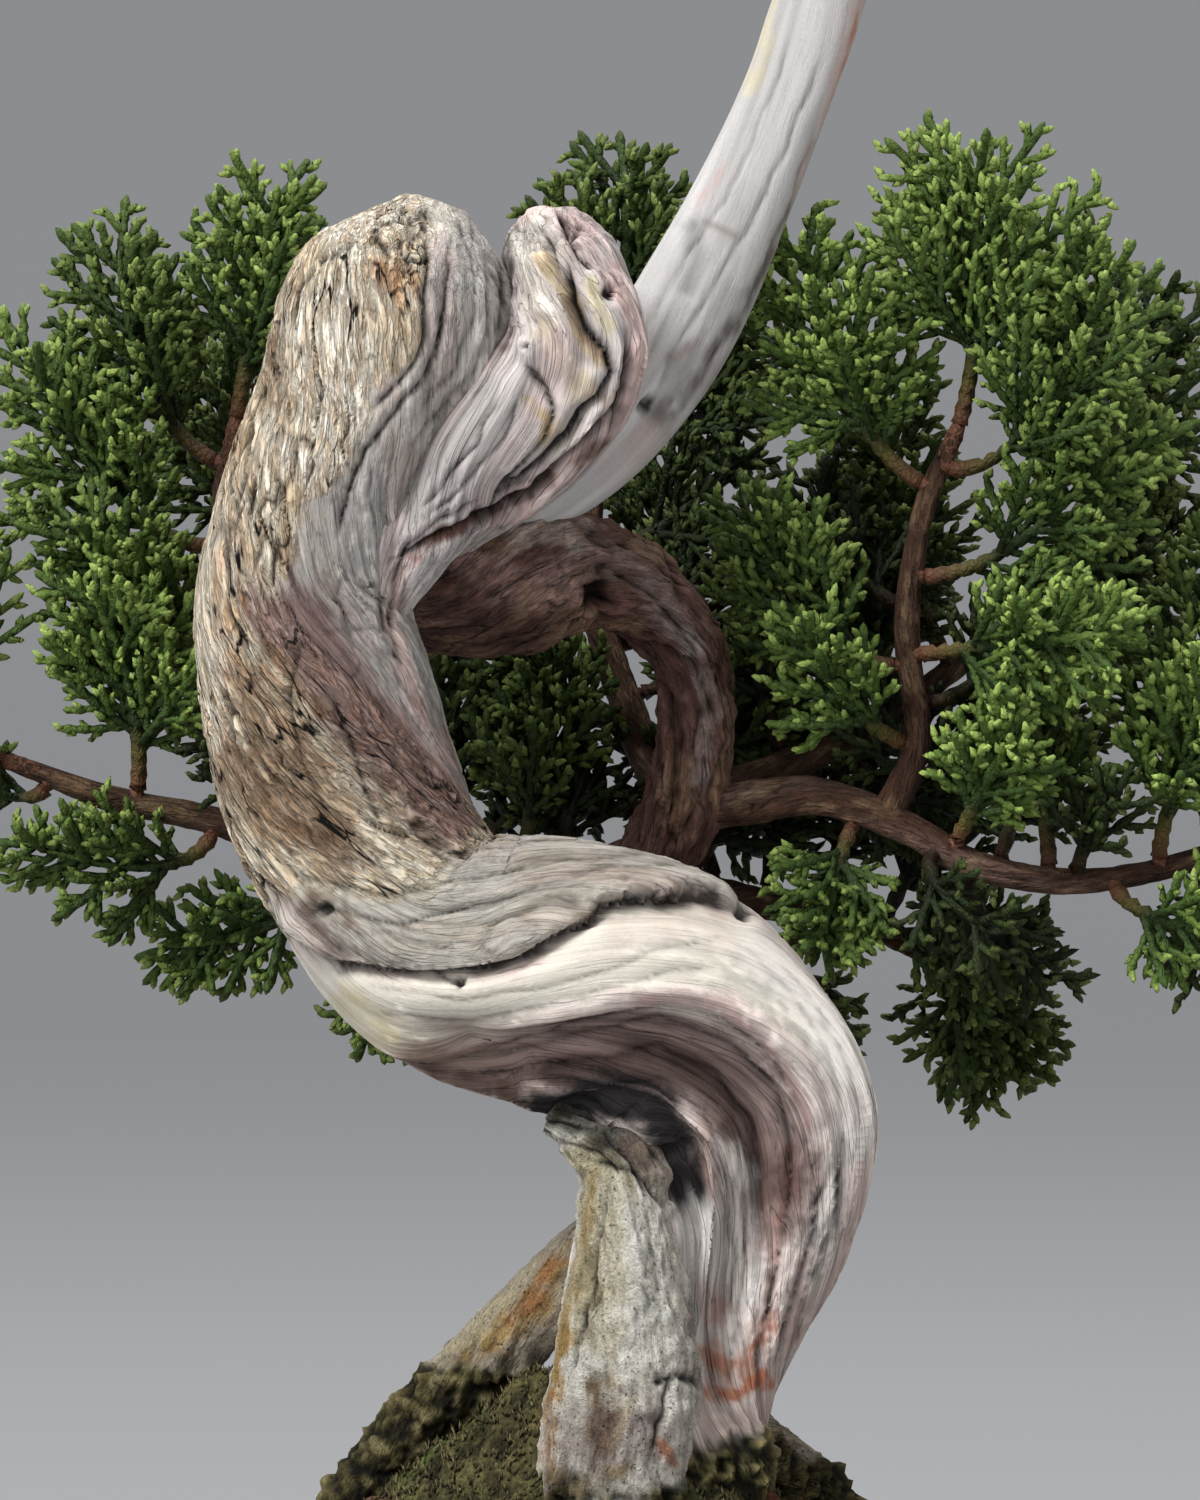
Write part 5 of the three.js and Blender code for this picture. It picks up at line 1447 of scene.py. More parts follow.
class Shoots:
    """Scaly shoots of one spray, each a closed cord whose rings of scales stand across each other."""

    def __init__(self, pitch: float = 0.86) -> None:
        """Starts with no shoot, and with rings of scales a pitch apart."""
        self.pitch = pitch
        self.groups: dict[tuple[int, int], list[Array]] = {}

    def add(
        self, base: Array, heading: Array, normal: Array, lift: Array, sizes: Sequence[float], sides: int = 4
    ) -> None:
        """Adds a shoot.

        Args:
            base: Where it leaves its parent.
            heading: Its direction.
            normal: A direction square to it.
            lift: How its tip is drawn aside, as a share of its length.
            sizes: Length, radii at its base and tip, ages at its base and tip, and brightness.
            sides: How many scales stand in one ring.
        """
        rings = max(3, round(sizes[0] * np.linalg.norm(heading + 0.6 * lift) / self.pitch) + 1)
        self.groups.setdefault((rings, sides), []).append(np.concatenate([base, heading, normal, lift, sizes]))

    def mesh(self) -> tuple[Array, list[Array], Array, Array]:
        """All shoots as one set of points and faces.

        Returns:
            Points, groups of faces, ages and brightness of each point.
        """
        points, quads, tris, ages, lights = [], [], [], [], []
        first = 0
        for (rings, sides), rows in sorted(self.groups.items()):
            row = np.array(rows)[:, None, None]
            base, heading, normal, lift = (row[..., 3 * k : 3 * k + 3] for k in range(4))
            length, thick, slim, young, old, light = (row[..., 12 + k : 13 + k] for k in range(6))
            across = np.cross(heading, normal)
            ring = np.arange(rings)[None, :, None, None]
            share = ring / (rings - 0.45)
            corner = (np.arange(sides)[None, None, :, None] + 0.5 * (ring % 2)) * (2 * math.pi / sides)
            swell = np.where(ring % 2 == 1, 0.16, -0.1) * smooth(young + (old - young) * share, 0.08, 0.26)
            size = (thick + (slim - thick) * share) * (1 + swell) * np.where(ring == rings - 1, 0.72, 1.0)
            middle = base + heading * length * share + lift * length * share**2
            skin = middle + size * (normal * np.cos(corner) + across * np.sin(corner))
            tip = (base + (heading + lift) * length)[:, 0]
            count = len(rows)
            per = rings * sides + 1
            points.append(np.concatenate([skin.reshape(count, -1, 3), tip], axis=1).reshape(-1, 3))
            age = np.broadcast_to(young + (old - young) * share, skin[..., :1].shape).reshape(count, -1)
            ages.append(np.concatenate([age, row[:, 0, :, 16].reshape(count, 1)], axis=1).ravel())
            lights.append(np.repeat(light.ravel(), per))
            start = first + per * np.arange(count)[:, None, None]
            k, c = np.meshgrid(np.arange(rings - 1) * sides, np.arange(sides), indexing="ij")
            turn = (c + 1) % sides
            wall = np.stack([k + c, k + turn, k + sides + turn, k + sides + c], -1)
            quads.append((start + wall.reshape(1, -1, 4)).reshape(-1, 4))
            foot = start[:, 0] + np.arange(sides)[::-1]
            (quads if sides == 4 else tris).append(foot)
            last = (rings - 1) * sides + np.arange(sides)
            cap = np.stack([last, np.roll(last, -1), np.full(sides, per - 1)], -1)
            tris.append((start + cap[None]).reshape(-1, 3))
            first += count * per
        faces = [np.concatenate(quads), np.concatenate(tris)]
        return np.concatenate(points), faces, np.concatenate(ages), np.concatenate(lights)

    def piece(self, name: str) -> Piece:
        """All shoots as one painted piece.

        Args:
            name: The piece's name.

        Returns:
            The mesh object.
        """
        points, faces, ages, lights = self.mesh()
        tints = (Tint.TWIG, Tint.TWIG_GREEN, Tint.LEAF_DEEP, Tint.LEAF, Tint.LEAF_FRESH, Tint.LEAF_TIP)
        tone = ramped(ages, (0.0, 0.16, 0.3, 0.55, 0.84, 1.0), tints)
        return faced(name, points, faces, {"tone": toned(tone * lights[:, None])})


class SprayRow(NamedTuple):
    """Where one spray leaves its branch, where its tip is from there, and how wide it fans."""

    stations: Sequence[Station]
    share: float
    reach: tuple[float, float, float]
    half_width: float


def sprays_on(stations: Sequence[Station], *rows: tuple[float, tuple, float]) -> list[SprayRow]:
    """Rows for sprays that leave the same branch."""
    return [SprayRow(stations, *row) for row in rows]


SPRAYS = [
    *sprays_on(
        RIGHT_LEADER, (1, (1, -2, 27), 16), (0.9, (17, -3, 21), 14), (0.84, (-13, -2, 25), 13),
        (0.62, (23, -4, 17), 13), (0.42, (20, -14, 2), 12), (0.4, (-17, 1, 17), 12), (0.2, (-12, -8, 12), 9),
    ),
    *sprays_on(
        RIGHT_BRANCH, (1, (11, 0, 16), 13), (0.9, (1, 4, 30), 14), (0.8, (8, -8, 20), 12),
        (0.62, (-3, 6, 19), 10), (0.72, (17, -5, -6), 9),
    ),
    *sprays_on(
        RIGHT_BACK, (1, (10, 3, 26), 15), (0.8, (19, 4, 12), 13), (0.66, (-9, -4, 31), 14),
        (0.42, (6, 11, 19), 12),
    ),
    *sprays_on(
        LEFT_LEADER, (1, (4, -1, 23), 13), (0.9, (-11, -2, 22), 13), (0.72, (-20, -5, 20), 13),
        (0.5, (-17, -9, 12), 12), (0.36, (12, -4, 20), 11),
    ),
    *sprays_on(
        LEFT_BRANCH, (1, (-8, -1, 24), 14), (0.93, (-12, 0, 3), 8), (0.8, (-4, -7, 22), 12),
        (0.68, (-20, -7, -2), 9), (0.5, (-17, -2, -9), 9), (0.34, (-7, -1, -15), 9), (0.2, (5, 5, 22), 11),
    ),
    *sprays_on(LEFT_BACK, (1, (-7, 3, 26), 14), (0.72, (-19, 4, 14), 13)),
    *sprays_on(
        APEX_BRANCH, (1, (1, -2, 21), 13), (0.86, (15, 0, 17), 13), (0.78, (-15, 0, 17), 12),
        (0.5, (4, 9, 19), 11), (0.35, (-14, -3, 9), 10),
    ),
    *sprays_on(LOW_BRANCH, (1, (9, 2, -12), 12), (0.6, (1, 6, -15), 10)),
    *sprays_on(RIGHT_BRANCH, (0.46, (6, -10, 12), 9), (0.3, (-4, -5, -14), 9)),
    *sprays_on(LOW_BRANCH, (0.84, (15, -5, -4), 10)),
    *sprays_on(LEFT_BACK, (0.22, (-4, 2, 20), 10)),
    *sprays_on(APEX_BRANCH, (0.2, (13, 3, 17), 10)),
]
INNER_SPRAYS = [
    *sprays_on(
        APEX_BRANCH, (0.28, (14, 6, 8), 10), (0.4, (15, -2, 5), 10), (0.52, (16, -4, 8), 11),
        (0.58, (-13, -3, 8), 10), (0.68, (16, -3, 11), 11),
    ),
    *sprays_on(
        LOW_BRANCH, (0.3, (-7, 5, 16), 10), (0.48, (2, 3, 19), 11), (0.66, (5, -2, 19), 11),
        (0.85, (8, -1, 16), 11), (0.4, (-3, 4, -14), 9),
    ),
    *sprays_on(
        RIGHT_BACK, (0.22, (-4, 7, 19), 10), (0.36, (9, 4, -9), 10), (0.52, (-4, -1, 20), 11),
        (0.7, (12, -2, -9), 10), (0.88, (12, -3, 2), 11),
    ),
    *sprays_on(
        RIGHT_BRANCH, (0.36, (-3, 11, 14), 10), (0.54, (6, 12, 13), 10), (0.5, (8, 8, -12), 10),
        (0.86, (6, 6, -13), 9),
    ),
    *sprays_on(RIGHT_LEADER, (0.3, (13, 8, 10), 10), (0.55, (-10, 10, 13), 10)),
    *sprays_on(RIGHT_BRANCH, (0.44, (5, -7, -9), 8), (0.66, (4, -8, 9), 8)),
    *sprays_on(LEFT_BRANCH, (0.6, (-6, -6, 10), 8)),
    *sprays_on(LEFT_BACK, (0.5, (9, 3, 15), 10)),
    *sprays_on(APEX_BRANCH, (0.17, (-16, 6, 2), 10)),
    *sprays_on(LEFT_BRANCH, (0.13, (-2, 9, 15), 9)),
    *sprays_on(LEFT_BACK, (0.15, (8, 8, 12), 9)),
    *sprays_on(LOW_BRANCH, (0.2, (10, 8, 6), 9)),
    *sprays_on(APEX_BRANCH, (0.3, (3, 8, 14), 8)),
]


@dataclass
class Spray:
    """One leafy spray on the same axis, and with the same cords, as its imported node."""

    row: SprayRow
    number: int
    clearance: float = 0.35
    seed: int = 9001
    levels: int = 4
    radii: tuple[float, float] = (0.95, 0.6)
    spacing: tuple[float, float] = (2.05, 1.55)
    ratios: tuple[float, float] = (0.6, 0.44)
    shoot_radius: tuple[float, float, float] = (0.5, 0.45, 0.44)
    filler: int = 16
    shoots: Shoots = field(default_factory=Shoots)

    def __post_init__(self) -> None:
        """Finds the spray's axis and the frame that its cords are turned in."""
        spine = Spine(self.row.stations)
        t = spine.evenly(np.array([self.row.share]))
        root, tangent = spine.at(t)[0], spine.along(t)[0]
        goal = np.array(self.row.reach, float)
        ends = self.row.share == 1
        out = tangent if ends else unit(unit(goal) - tangent * (unit(goal) @ tangent))
        start = root[:3] + out * ((0 if ends else max(root[3:])) + self.clearance)
        bend = start + out * 0.3 * np.linalg.norm(goal) + goal * 0.12
        self.hull = np.array([start, bend, root[:3] + goal])
        self.rooted = root[:3]
        self.inwards = tangent * (4.0 if ends else 0.0)
        self.hinge = unit(np.cross(goal, np.array([0.2, 1, 0.3])))
        self.draw = draws_from(self.seed + self.number)
        # Painted shade: sprays further back in the crown are darker; each also differs a little in tone.
        self.light = 0.46 + 0.7 * smooth(self.hull[2][1], 32.0, -2.0) + 0.12 * math.sin(2.7 * self.number)
        shares = np.linspace(0, 1, 201)
        steps = np.linalg.norm(np.diff(self.curve(shares), axis=0), axis=1)
        self.length = float(steps.sum())
        self.lengths = np.concatenate([[0.0], np.cumsum(steps)])

    def curve(self, t: Array) -> Array:
        """Points of the axis."""
        t = np.atleast_1d(t)[:, None]
        return (1 - t) ** 2 * self.hull[0] + 2 * t * (1 - t) * self.hull[1] + t**2 * self.hull[2]

    def at(self, share: float) -> tuple[Array, Array, Array, Array]:
        """A place on the axis.

        Args:
            share: The share of its length.

        Returns:
            The point, the axis's heading there, and two directions square to it.
        """
        t = np.interp(share * self.length, self.lengths, np.linspace(0, 1, 201))
        ahead, behind = self.curve(min(t + 1e-3, 1))[0], self.curve(max(t - 1e-3, 0))[0]
        heading = unit(ahead - behind)
        across = unit(self.hinge - heading * (self.hinge @ heading))
        return self.curve(t)[0], heading, across, np.cross(heading, across)

    def grow(self, base: Array, heading: Array, normal: Array, length: float, order: int, age: float) -> None:
        """One shoot and those that leave it on alternate sides.

        Args:
            base: Where it starts.
            heading: Its direction.
            normal: A direction square to the fan that it spreads in.
            length: Its length.
            order: 0 for a shoot of the axis, then 1 and 2.
            age: How young its base is, from 0 for old wood to 1 for a fresh tip.
        """
        normal = unit(normal - heading * (normal @ heading))
        lift = np.array([0.0, 0.0, 0.1]) + normal * 0.12 * (next(self.draw) - 0.5)
        lift -= heading * (lift @ heading)
        tip = min(1.0, age + 0.2 + 0.26 * next(self.draw))
        light = self.light * (0.9 + 0.2 * next(self.draw))
        radius = self.shoot_radius[order]
        sizes = (length, radius * 0.86, radius * 1.14, age, tip, light)
        self.shoots.add(base, heading, normal, lift, sizes, 3 if order == 2 else 4)
        if order == 2:
            return
        side = np.cross(heading, normal)
        sign = 1 if next(self.draw) < 0.5 else -1
        at = self.spacing[order] * (0.5 + 0.6 * next(self.draw))
        while at < length - 0.7:
            share = at / length
            reach = max(length * self.ratios[order] * (1.12 - share), 1.7) * (0.78 + 0.44 * next(self.draw))
            lean = 0.56 + 0.22 * next(self.draw)
            aside = heading * math.cos(lean) + side * sign * math.sin(lean)
            aside = aside + normal * 0.55 * (next(self.draw) - 0.5)
            point = base + heading * at + lift * length * share**2
            self.grow(point, unit(aside), normal, reach, order + 1, age + (tip - age) * share * 0.75 + 0.12)
            sign = -sign
            at += self.spacing[order] * (0.78 + 0.44 * next(self.draw))

    def cord(
        self, share: float, sign: int, turn: float, draw: Iterator[float]
    ) -> tuple[Array, Array, Array, float]:
        """A cord's start, heading, square direction and length, drawn as in the part's source.

        Args:
            share: Where it leaves the axis.
            sign: The side that it leaves on.
            turn: How far the level is turned.
            draw: The stream of draws.

        Returns:
            The four facts.
        """
        point, heading, across, through = self.at(share)
        tilt = turn + (next(draw) - 0.5) * 0.7
        outwards = across * sign * math.cos(tilt) + through * sign * math.sin(tilt)
        ahead = unit(heading * 0.8 + outwards * (0.75 + 0.2 * next(draw)))
        length = self.row.half_width * (1.3 - 0.75 * share) * (0.85 + 0.3 * next(draw))
        return point, ahead, through, length

    def axis(self) -> None:
        """The stem of the spray: a stub in the branch, then one bent shoot from old wood to green."""
        start, bend, end = self.hull
        stub = start - self.rooted + self.inwards
        first = unit(bend - start)
        normal = unit(self.hinge - first * (self.hinge @ first))
        sizes = (float(np.linalg.norm(stub)) + 0.4, 1.1 * self.radii[0], self.radii[0], 0.0, 0.0, self.light)
        heading = unit(stub)
        square = unit(self.hinge - heading * (self.hinge @ heading))
        self.shoots.add(self.rooted - self.inwards, heading, square, np.zeros(3), sizes)
        length = 2 * float(np.linalg.norm(bend - start))
        lift = (start - 2 * bend + end) / length
        self.shoots.add(start, first, normal, lift, (length, *self.radii, 0.0, 0.8, self.light))

    def sprout(self) -> None:
        """Adds the stem and all of its shoots."""
        self.axis()
        draw = draws_from(self.seed + self.number)
        for level in range(self.levels):
            share = 0.3 + 0.5 * level / (self.levels - 1)
            turn = 0.45 * math.sin(2.1 * level + self.number)
            for sign in (-1, 1):
                point, ahead, through, length = self.cord(share, sign, turn, draw)
                self.grow(point, ahead, through, length, 0, 0.26 + 0.2 * share)
        for level in range(self.filler):
            share = 0.16 + 0.8 * level / (self.filler - 1)
            turn = (1.15, -0.9, 0.35, -1.3)[level % 4] + 0.4 * math.sin(1.7 * level + self.number)
            sign = 1 if (level // 2) % 2 else -1
            point, ahead, through, length = self.cord(share, sign, turn, self.draw)
            self.grow(point, ahead, through, length * 0.95, 0, 0.26 + 0.2 * share)

    def build(self, material: Material) -> None:
        """Builds and dresses the spray.

        Args:
            material: The leaves' material.
        """
        self.sprout()
        name = f"{self.number:02d}"
        finished(self.shoots.piece("leaves_" + name), material, "foliage", ["spray_" + name])


@dataclass
class InnerShoots:
    """Small shaded sprays on the inner limbs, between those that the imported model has."""

    light: float = 0.22
    first: int = 61

    def build(self, material: Material) -> None:
        """Builds and dresses all of them as one piece.

        Args:
            material: The leaves' material.
        """
        shoots = Shoots(1.45)
        for number, row in enumerate(INNER_SPRAYS, self.first):
            spray = Spray(row, number, levels=2, filler=7, shoots=shoots)
            spray.light = self.light * (0.85 + 0.3 * (number % 3))
            spray.sprout()
        finished(shoots.piece("inner_shoots"), material, "foliage", [])


# Soil, moss and pot


@dataclass
class Ground:
    """The soil in the pot with its moss mound and loose granules."""

    half_length: float = 63.0
    half_depth: float = 50.0
    corner: float = 15.0
    wall_inset: float = 5.9
    underside: tuple[tuple[float, float], ...] = ((11.6, 10.85), (8.9, 14.0))
    wall_level: float = 30.5
    crown: float = 4.0
    mound_rise: float = 21.5
    mound_at: tuple[float, float] = (1.0, -4.0)
    reach: tuple[float, float, float, float] = (33.0, 15.5, 19.0, 24.0)
    clump: float = 2.1
    granule_pitch: float = 2.35
    granule_limit: float = 0.62
    blade_pitch: float = 0.5
    clear_of_wall: float = 0.9
    columns: int = 150
    rings: int = 64
    node: str = "soil"
    slot: str = "soil"

    def away(self, x: Array, y: Array) -> Array:
        """How far places are from the mound's middle, 1 at its foot."""
        left, right, front, back = self.reach
        dx, dy = x - self.mound_at[0], y - self.mound_at[1]
        return np.hypot(dx / np.where(dx < 0, left, right), dy / np.where(dy < 0, front, back))

    def height(self, x: Array, y: Array) -> Array:
        """The soil's level, as in the part's source."""
        crown = self.crown * np.maximum(0, 1 - (x / self.half_length) ** 2)
        crown = crown * np.maximum(0, 1 - (y / self.half_depth) ** 2)
        away = np.minimum(self.away(x, y), 1)
        mound = self.mound_rise * (1 - away**1.35) ** 1.15
        cushions = np.sin(x * 0.53 + 1.3 * np.sin(y * 0.31)) * np.sin(y * 0.47 + 1.1 * np.sin(x * 0.33))
        return self.wall_level + crown + mound + 0.7 * cushions

    def covered(self, x: Array, y: Array) -> Array:
        """How much moss lies at places, from 0 to 1."""
        at = np.stack([x, y, np.zeros_like(x)], axis=-1)
        patchy = noise(at / 9, 71, 3)
        return smooth(self.away(x, y) + 1.1 * (patchy - 0.5), 1.18, 0.98)

    def edge(self, angle: Array, inset: float) -> Array:
        """How far the inset outline is from the mound's middle, by angle.

        Args:
            angle: Directions from the mound's middle.
            inset: How far the outline is set in from the rim's edge.

        Returns:
            Distances.
        """
        near, far = np.zeros(angle.shape), np.full(angle.shape, 2 * self.half_length)
        half_x, half_y, radius = self.half_length - inset, self.half_depth - inset, self.corner - inset
        for _ in range(24):
            middle = (near + far) / 2
            x = np.abs(self.mound_at[0] + np.cos(angle) * middle)
            y = np.abs(self.mound_at[1] + np.sin(angle) * middle)
            dx, dy = np.maximum(0, x - half_x + radius), np.maximum(0, y - half_y + radius)
            inside = (x < half_x) & (y < half_y) & (np.hypot(dx, dy) < radius)
            near, far = np.where(inside, middle, near), np.where(inside, far, middle)
        return near

    def bed(self) -> Piece:
        """The soil's own surface, bare grit at the wall and moss on the mound."""
        angle = 2 * math.pi * np.arange(self.columns) / self.columns
        rows = [(self.edge(angle, inset), np.full(angle.shape, level)) for inset, level in self.underside]
        rim = self.edge(angle, self.wall_inset)
        rows += [(rim * share, None) for share in np.linspace(1, 0.02, self.rings)]
        grid = []
        for far, level in rows:
            x = self.mound_at[0] + np.cos(angle) * far
            y = self.mound_at[1] + np.sin(angle) * far
            grid.append(np.stack([x, y, self.height(x, y) if level is None else level], axis=-1))
        grid = np.array(grid)
        moss = self.covered(grid[..., 0], grid[..., 1])
        clumps = noise(grid / self.clump, 73, 4)
        top = len(self.underside)
        grid[top:, :, 2] += ((clumps - 0.5) * (0.8 + 3.4 * moss))[top:]
        # Soil and moss are darker where the clumps lie low and lighter where they rise: painted shade and
        # highlight over their own colours.
        bare = between(Tint.SOIL_DARK.linear, Tint.SOIL_RED.linear, smooth(clumps, 0.4, 0.7)[..., None])
        fresh = smooth(noise(grid / 6.0, 77, 2), 0.4, 0.66)[..., None]
        lush = between(Tint.MOSS.linear, Tint.MOSS_GREEN.linear, fresh)
        green = between(Tint.MOSS_DARK.linear, lush, smooth(clumps, 0.4, 0.62)[..., None])
        tone = between(bare, green, moss[..., None])
        peak = float(self.height(*np.array(self.mound_at)[:, None])[0])
        poles = np.array([[*self.mound_at, level] for level in (self.underside[0][1], peak)])
        return shell("soil_bed", grid, poles, {"tone": toned(tone, moss)})

    def places(self, pitch: float, seed: int) -> tuple[Array, Array]:
        """Places strewn evenly over the soil.

        Args:
            pitch: How far apart they are.
            seed: Which strewing.

        Returns:
            Their x and their y.
        """
        across = np.arange(-self.half_length, self.half_length, pitch)
        x, y = (side.ravel() for side in np.meshgrid(across, across))
        at = np.stack([np.rint(x / pitch), np.rint(y / pitch), np.zeros_like(x)], axis=-1)
        x = x + (hashed(at, seed) - 0.5) * pitch * 0.9
        y = y + (hashed(at, seed + 1) - 0.5) * pitch * 0.9
        dx, dy = x - self.mound_at[0], y - self.mound_at[1]
        inside = np.hypot(dx, dy) < self.edge(np.arctan2(dy, dx), self.wall_inset) - self.clear_of_wall
        return x[inside], y[inside]

    @staticmethod
    def draws(count: int, row: int, seed: int, kinds: int) -> Array:
        """Repeatable numbers for strewn things, in a row for each kind of number."""
        numbers = np.stack([np.arange(count), np.full(count, row), np.zeros(count)], axis=-1)
        return np.array([hashed(numbers, seed + k) for k in range(kinds)])

    def granules(self) -> Piece:
        """Loose granules on the bare soil, copied from one twenty-sided stone."""
        deselect()
        bpy.ops.mesh.primitive_ico_sphere_add(subdivisions=1, radius=1)
        block, faces = master()
        x, y = self.places(self.granule_pitch, 81)
        kept = self.covered(x, y) < self.granule_limit
        x, y = x[kept], y[kept]
        draw = self.draws(len(x), 0, 90, 9)
        size = 0.75 + 0.75 * draw[0] ** 2
        shape = np.stack([0.8 + 0.5 * draw[1], 0.8 + 0.5 * draw[2], 0.7 + 0.4 * draw[3]], axis=-1)
        bodies = block[None] * (size[:, None] * shape)[:, None]
        chips = np.stack([hashed(np.round(bodies * 977), 101 + k) for k in range(3)], axis=-1)
        bodies = bodies * (1 + 0.42 * (chips - 0.5))
        bx, by = turned(bodies[..., 0], bodies[..., 1], 2 * math.pi * draw[4][:, None])
        by, bz = turned(by, bodies[..., 2], 2 * math.pi * draw[5][:, None])
        z = self.height(x, y) - 0.25 * size + 0.4 * draw[6]
        points = np.stack([bx + x[:, None], by + y[:, None], bz + z[:, None]], axis=-1).reshape(-1, 3)
        tone = ramped(draw[7], (0, 0.45, 0.8, 1), (Tint.SOIL_DARK, Tint.SOIL_RED, Tint.SOIL_TAN, Tint.UMBER))
        tone = np.repeat(tone * (0.75 + 0.5 * draw[8])[:, None], len(block), axis=0)
        index = repeated(np.array(faces), len(block), len(x))
        return faced("soil_granules", points, [index], {"tone": toned(tone)})

    def tufts(self) -> Piece:
        """Short moss blades on the mound, copied from one slim cone."""
        deselect()
        bpy.ops.mesh.primitive_cone_add(vertices=3, radius1=1, radius2=0, depth=1)
        blade, faces = master()
        x, y = self.places(self.blade_pitch, 111)
        at = np.stack([x, y, np.zeros_like(x)], axis=-1)
        kept = self.covered(x, y) > 0.25 + 0.6 * hashed(np.round(at * 31), 115)
        x, y = x[kept], y[kept]
        draw = self.draws(len(x), 1, 120, 6)
        clump = noise(np.stack([x, y, self.height(x, y)], axis=-1) / self.clump, 73, 4)
        tall, slim = 0.5 + 0.7 * draw[0][:, None], 0.18 + 0.1 * draw[1][:, None]
        lean = (draw[2:4] - 0.5)[..., None] * 1.1
        up = blade[:, 2] + 0.5
        bx, by = turned(blade[:, 0], blade[:, 1], 2 * math.pi * draw[4][:, None])
        z = self.height(x, y) + (clump - 0.5) * 4.2 - 0.25
        sides = (x[:, None] + bx * slim + up * lean[0], y[:, None] + by * slim + up * lean[1])
        points = np.stack([*sides, z[:, None] + up * tall], axis=-1).reshape(-1, 3)
        # Blades are dark at their roots and in low clumps and paler up to their tips: painted shade among the
        # blades; the tips keep the moss's own colours.
        tip = between(Tint.MOSS.linear, Tint.MOSS_TIP.linear, draw[5][:, None])
        root = Tint.MOSS_DARK.linear
        tone = root + (tip[:, None] - root) * up[None, :, None] * smooth(clump, 0.34, 0.6)[:, None, None]
        index = repeated(np.array([face for face in faces if len(face) == 3]), len(blade), len(x))
        return faced("moss_blades", points, [index], {"tone": toned(tone.reshape(-1, 3))})

    def build(self) -> None:
        """Builds and dresses the soil, its granules and its moss."""
        for piece, finish in (
            (self.bed(), GroundFinish("soil_and_moss", 900, 0.0005)),
            (self.granules(), GroundFinish("baked_granules", 1400, 0.0003)),
            (self.tufts(), GroundFinish("moss", 1800, 0.0001)),
        ):
            finished(piece, finish.material(), self.slot, [self.node])


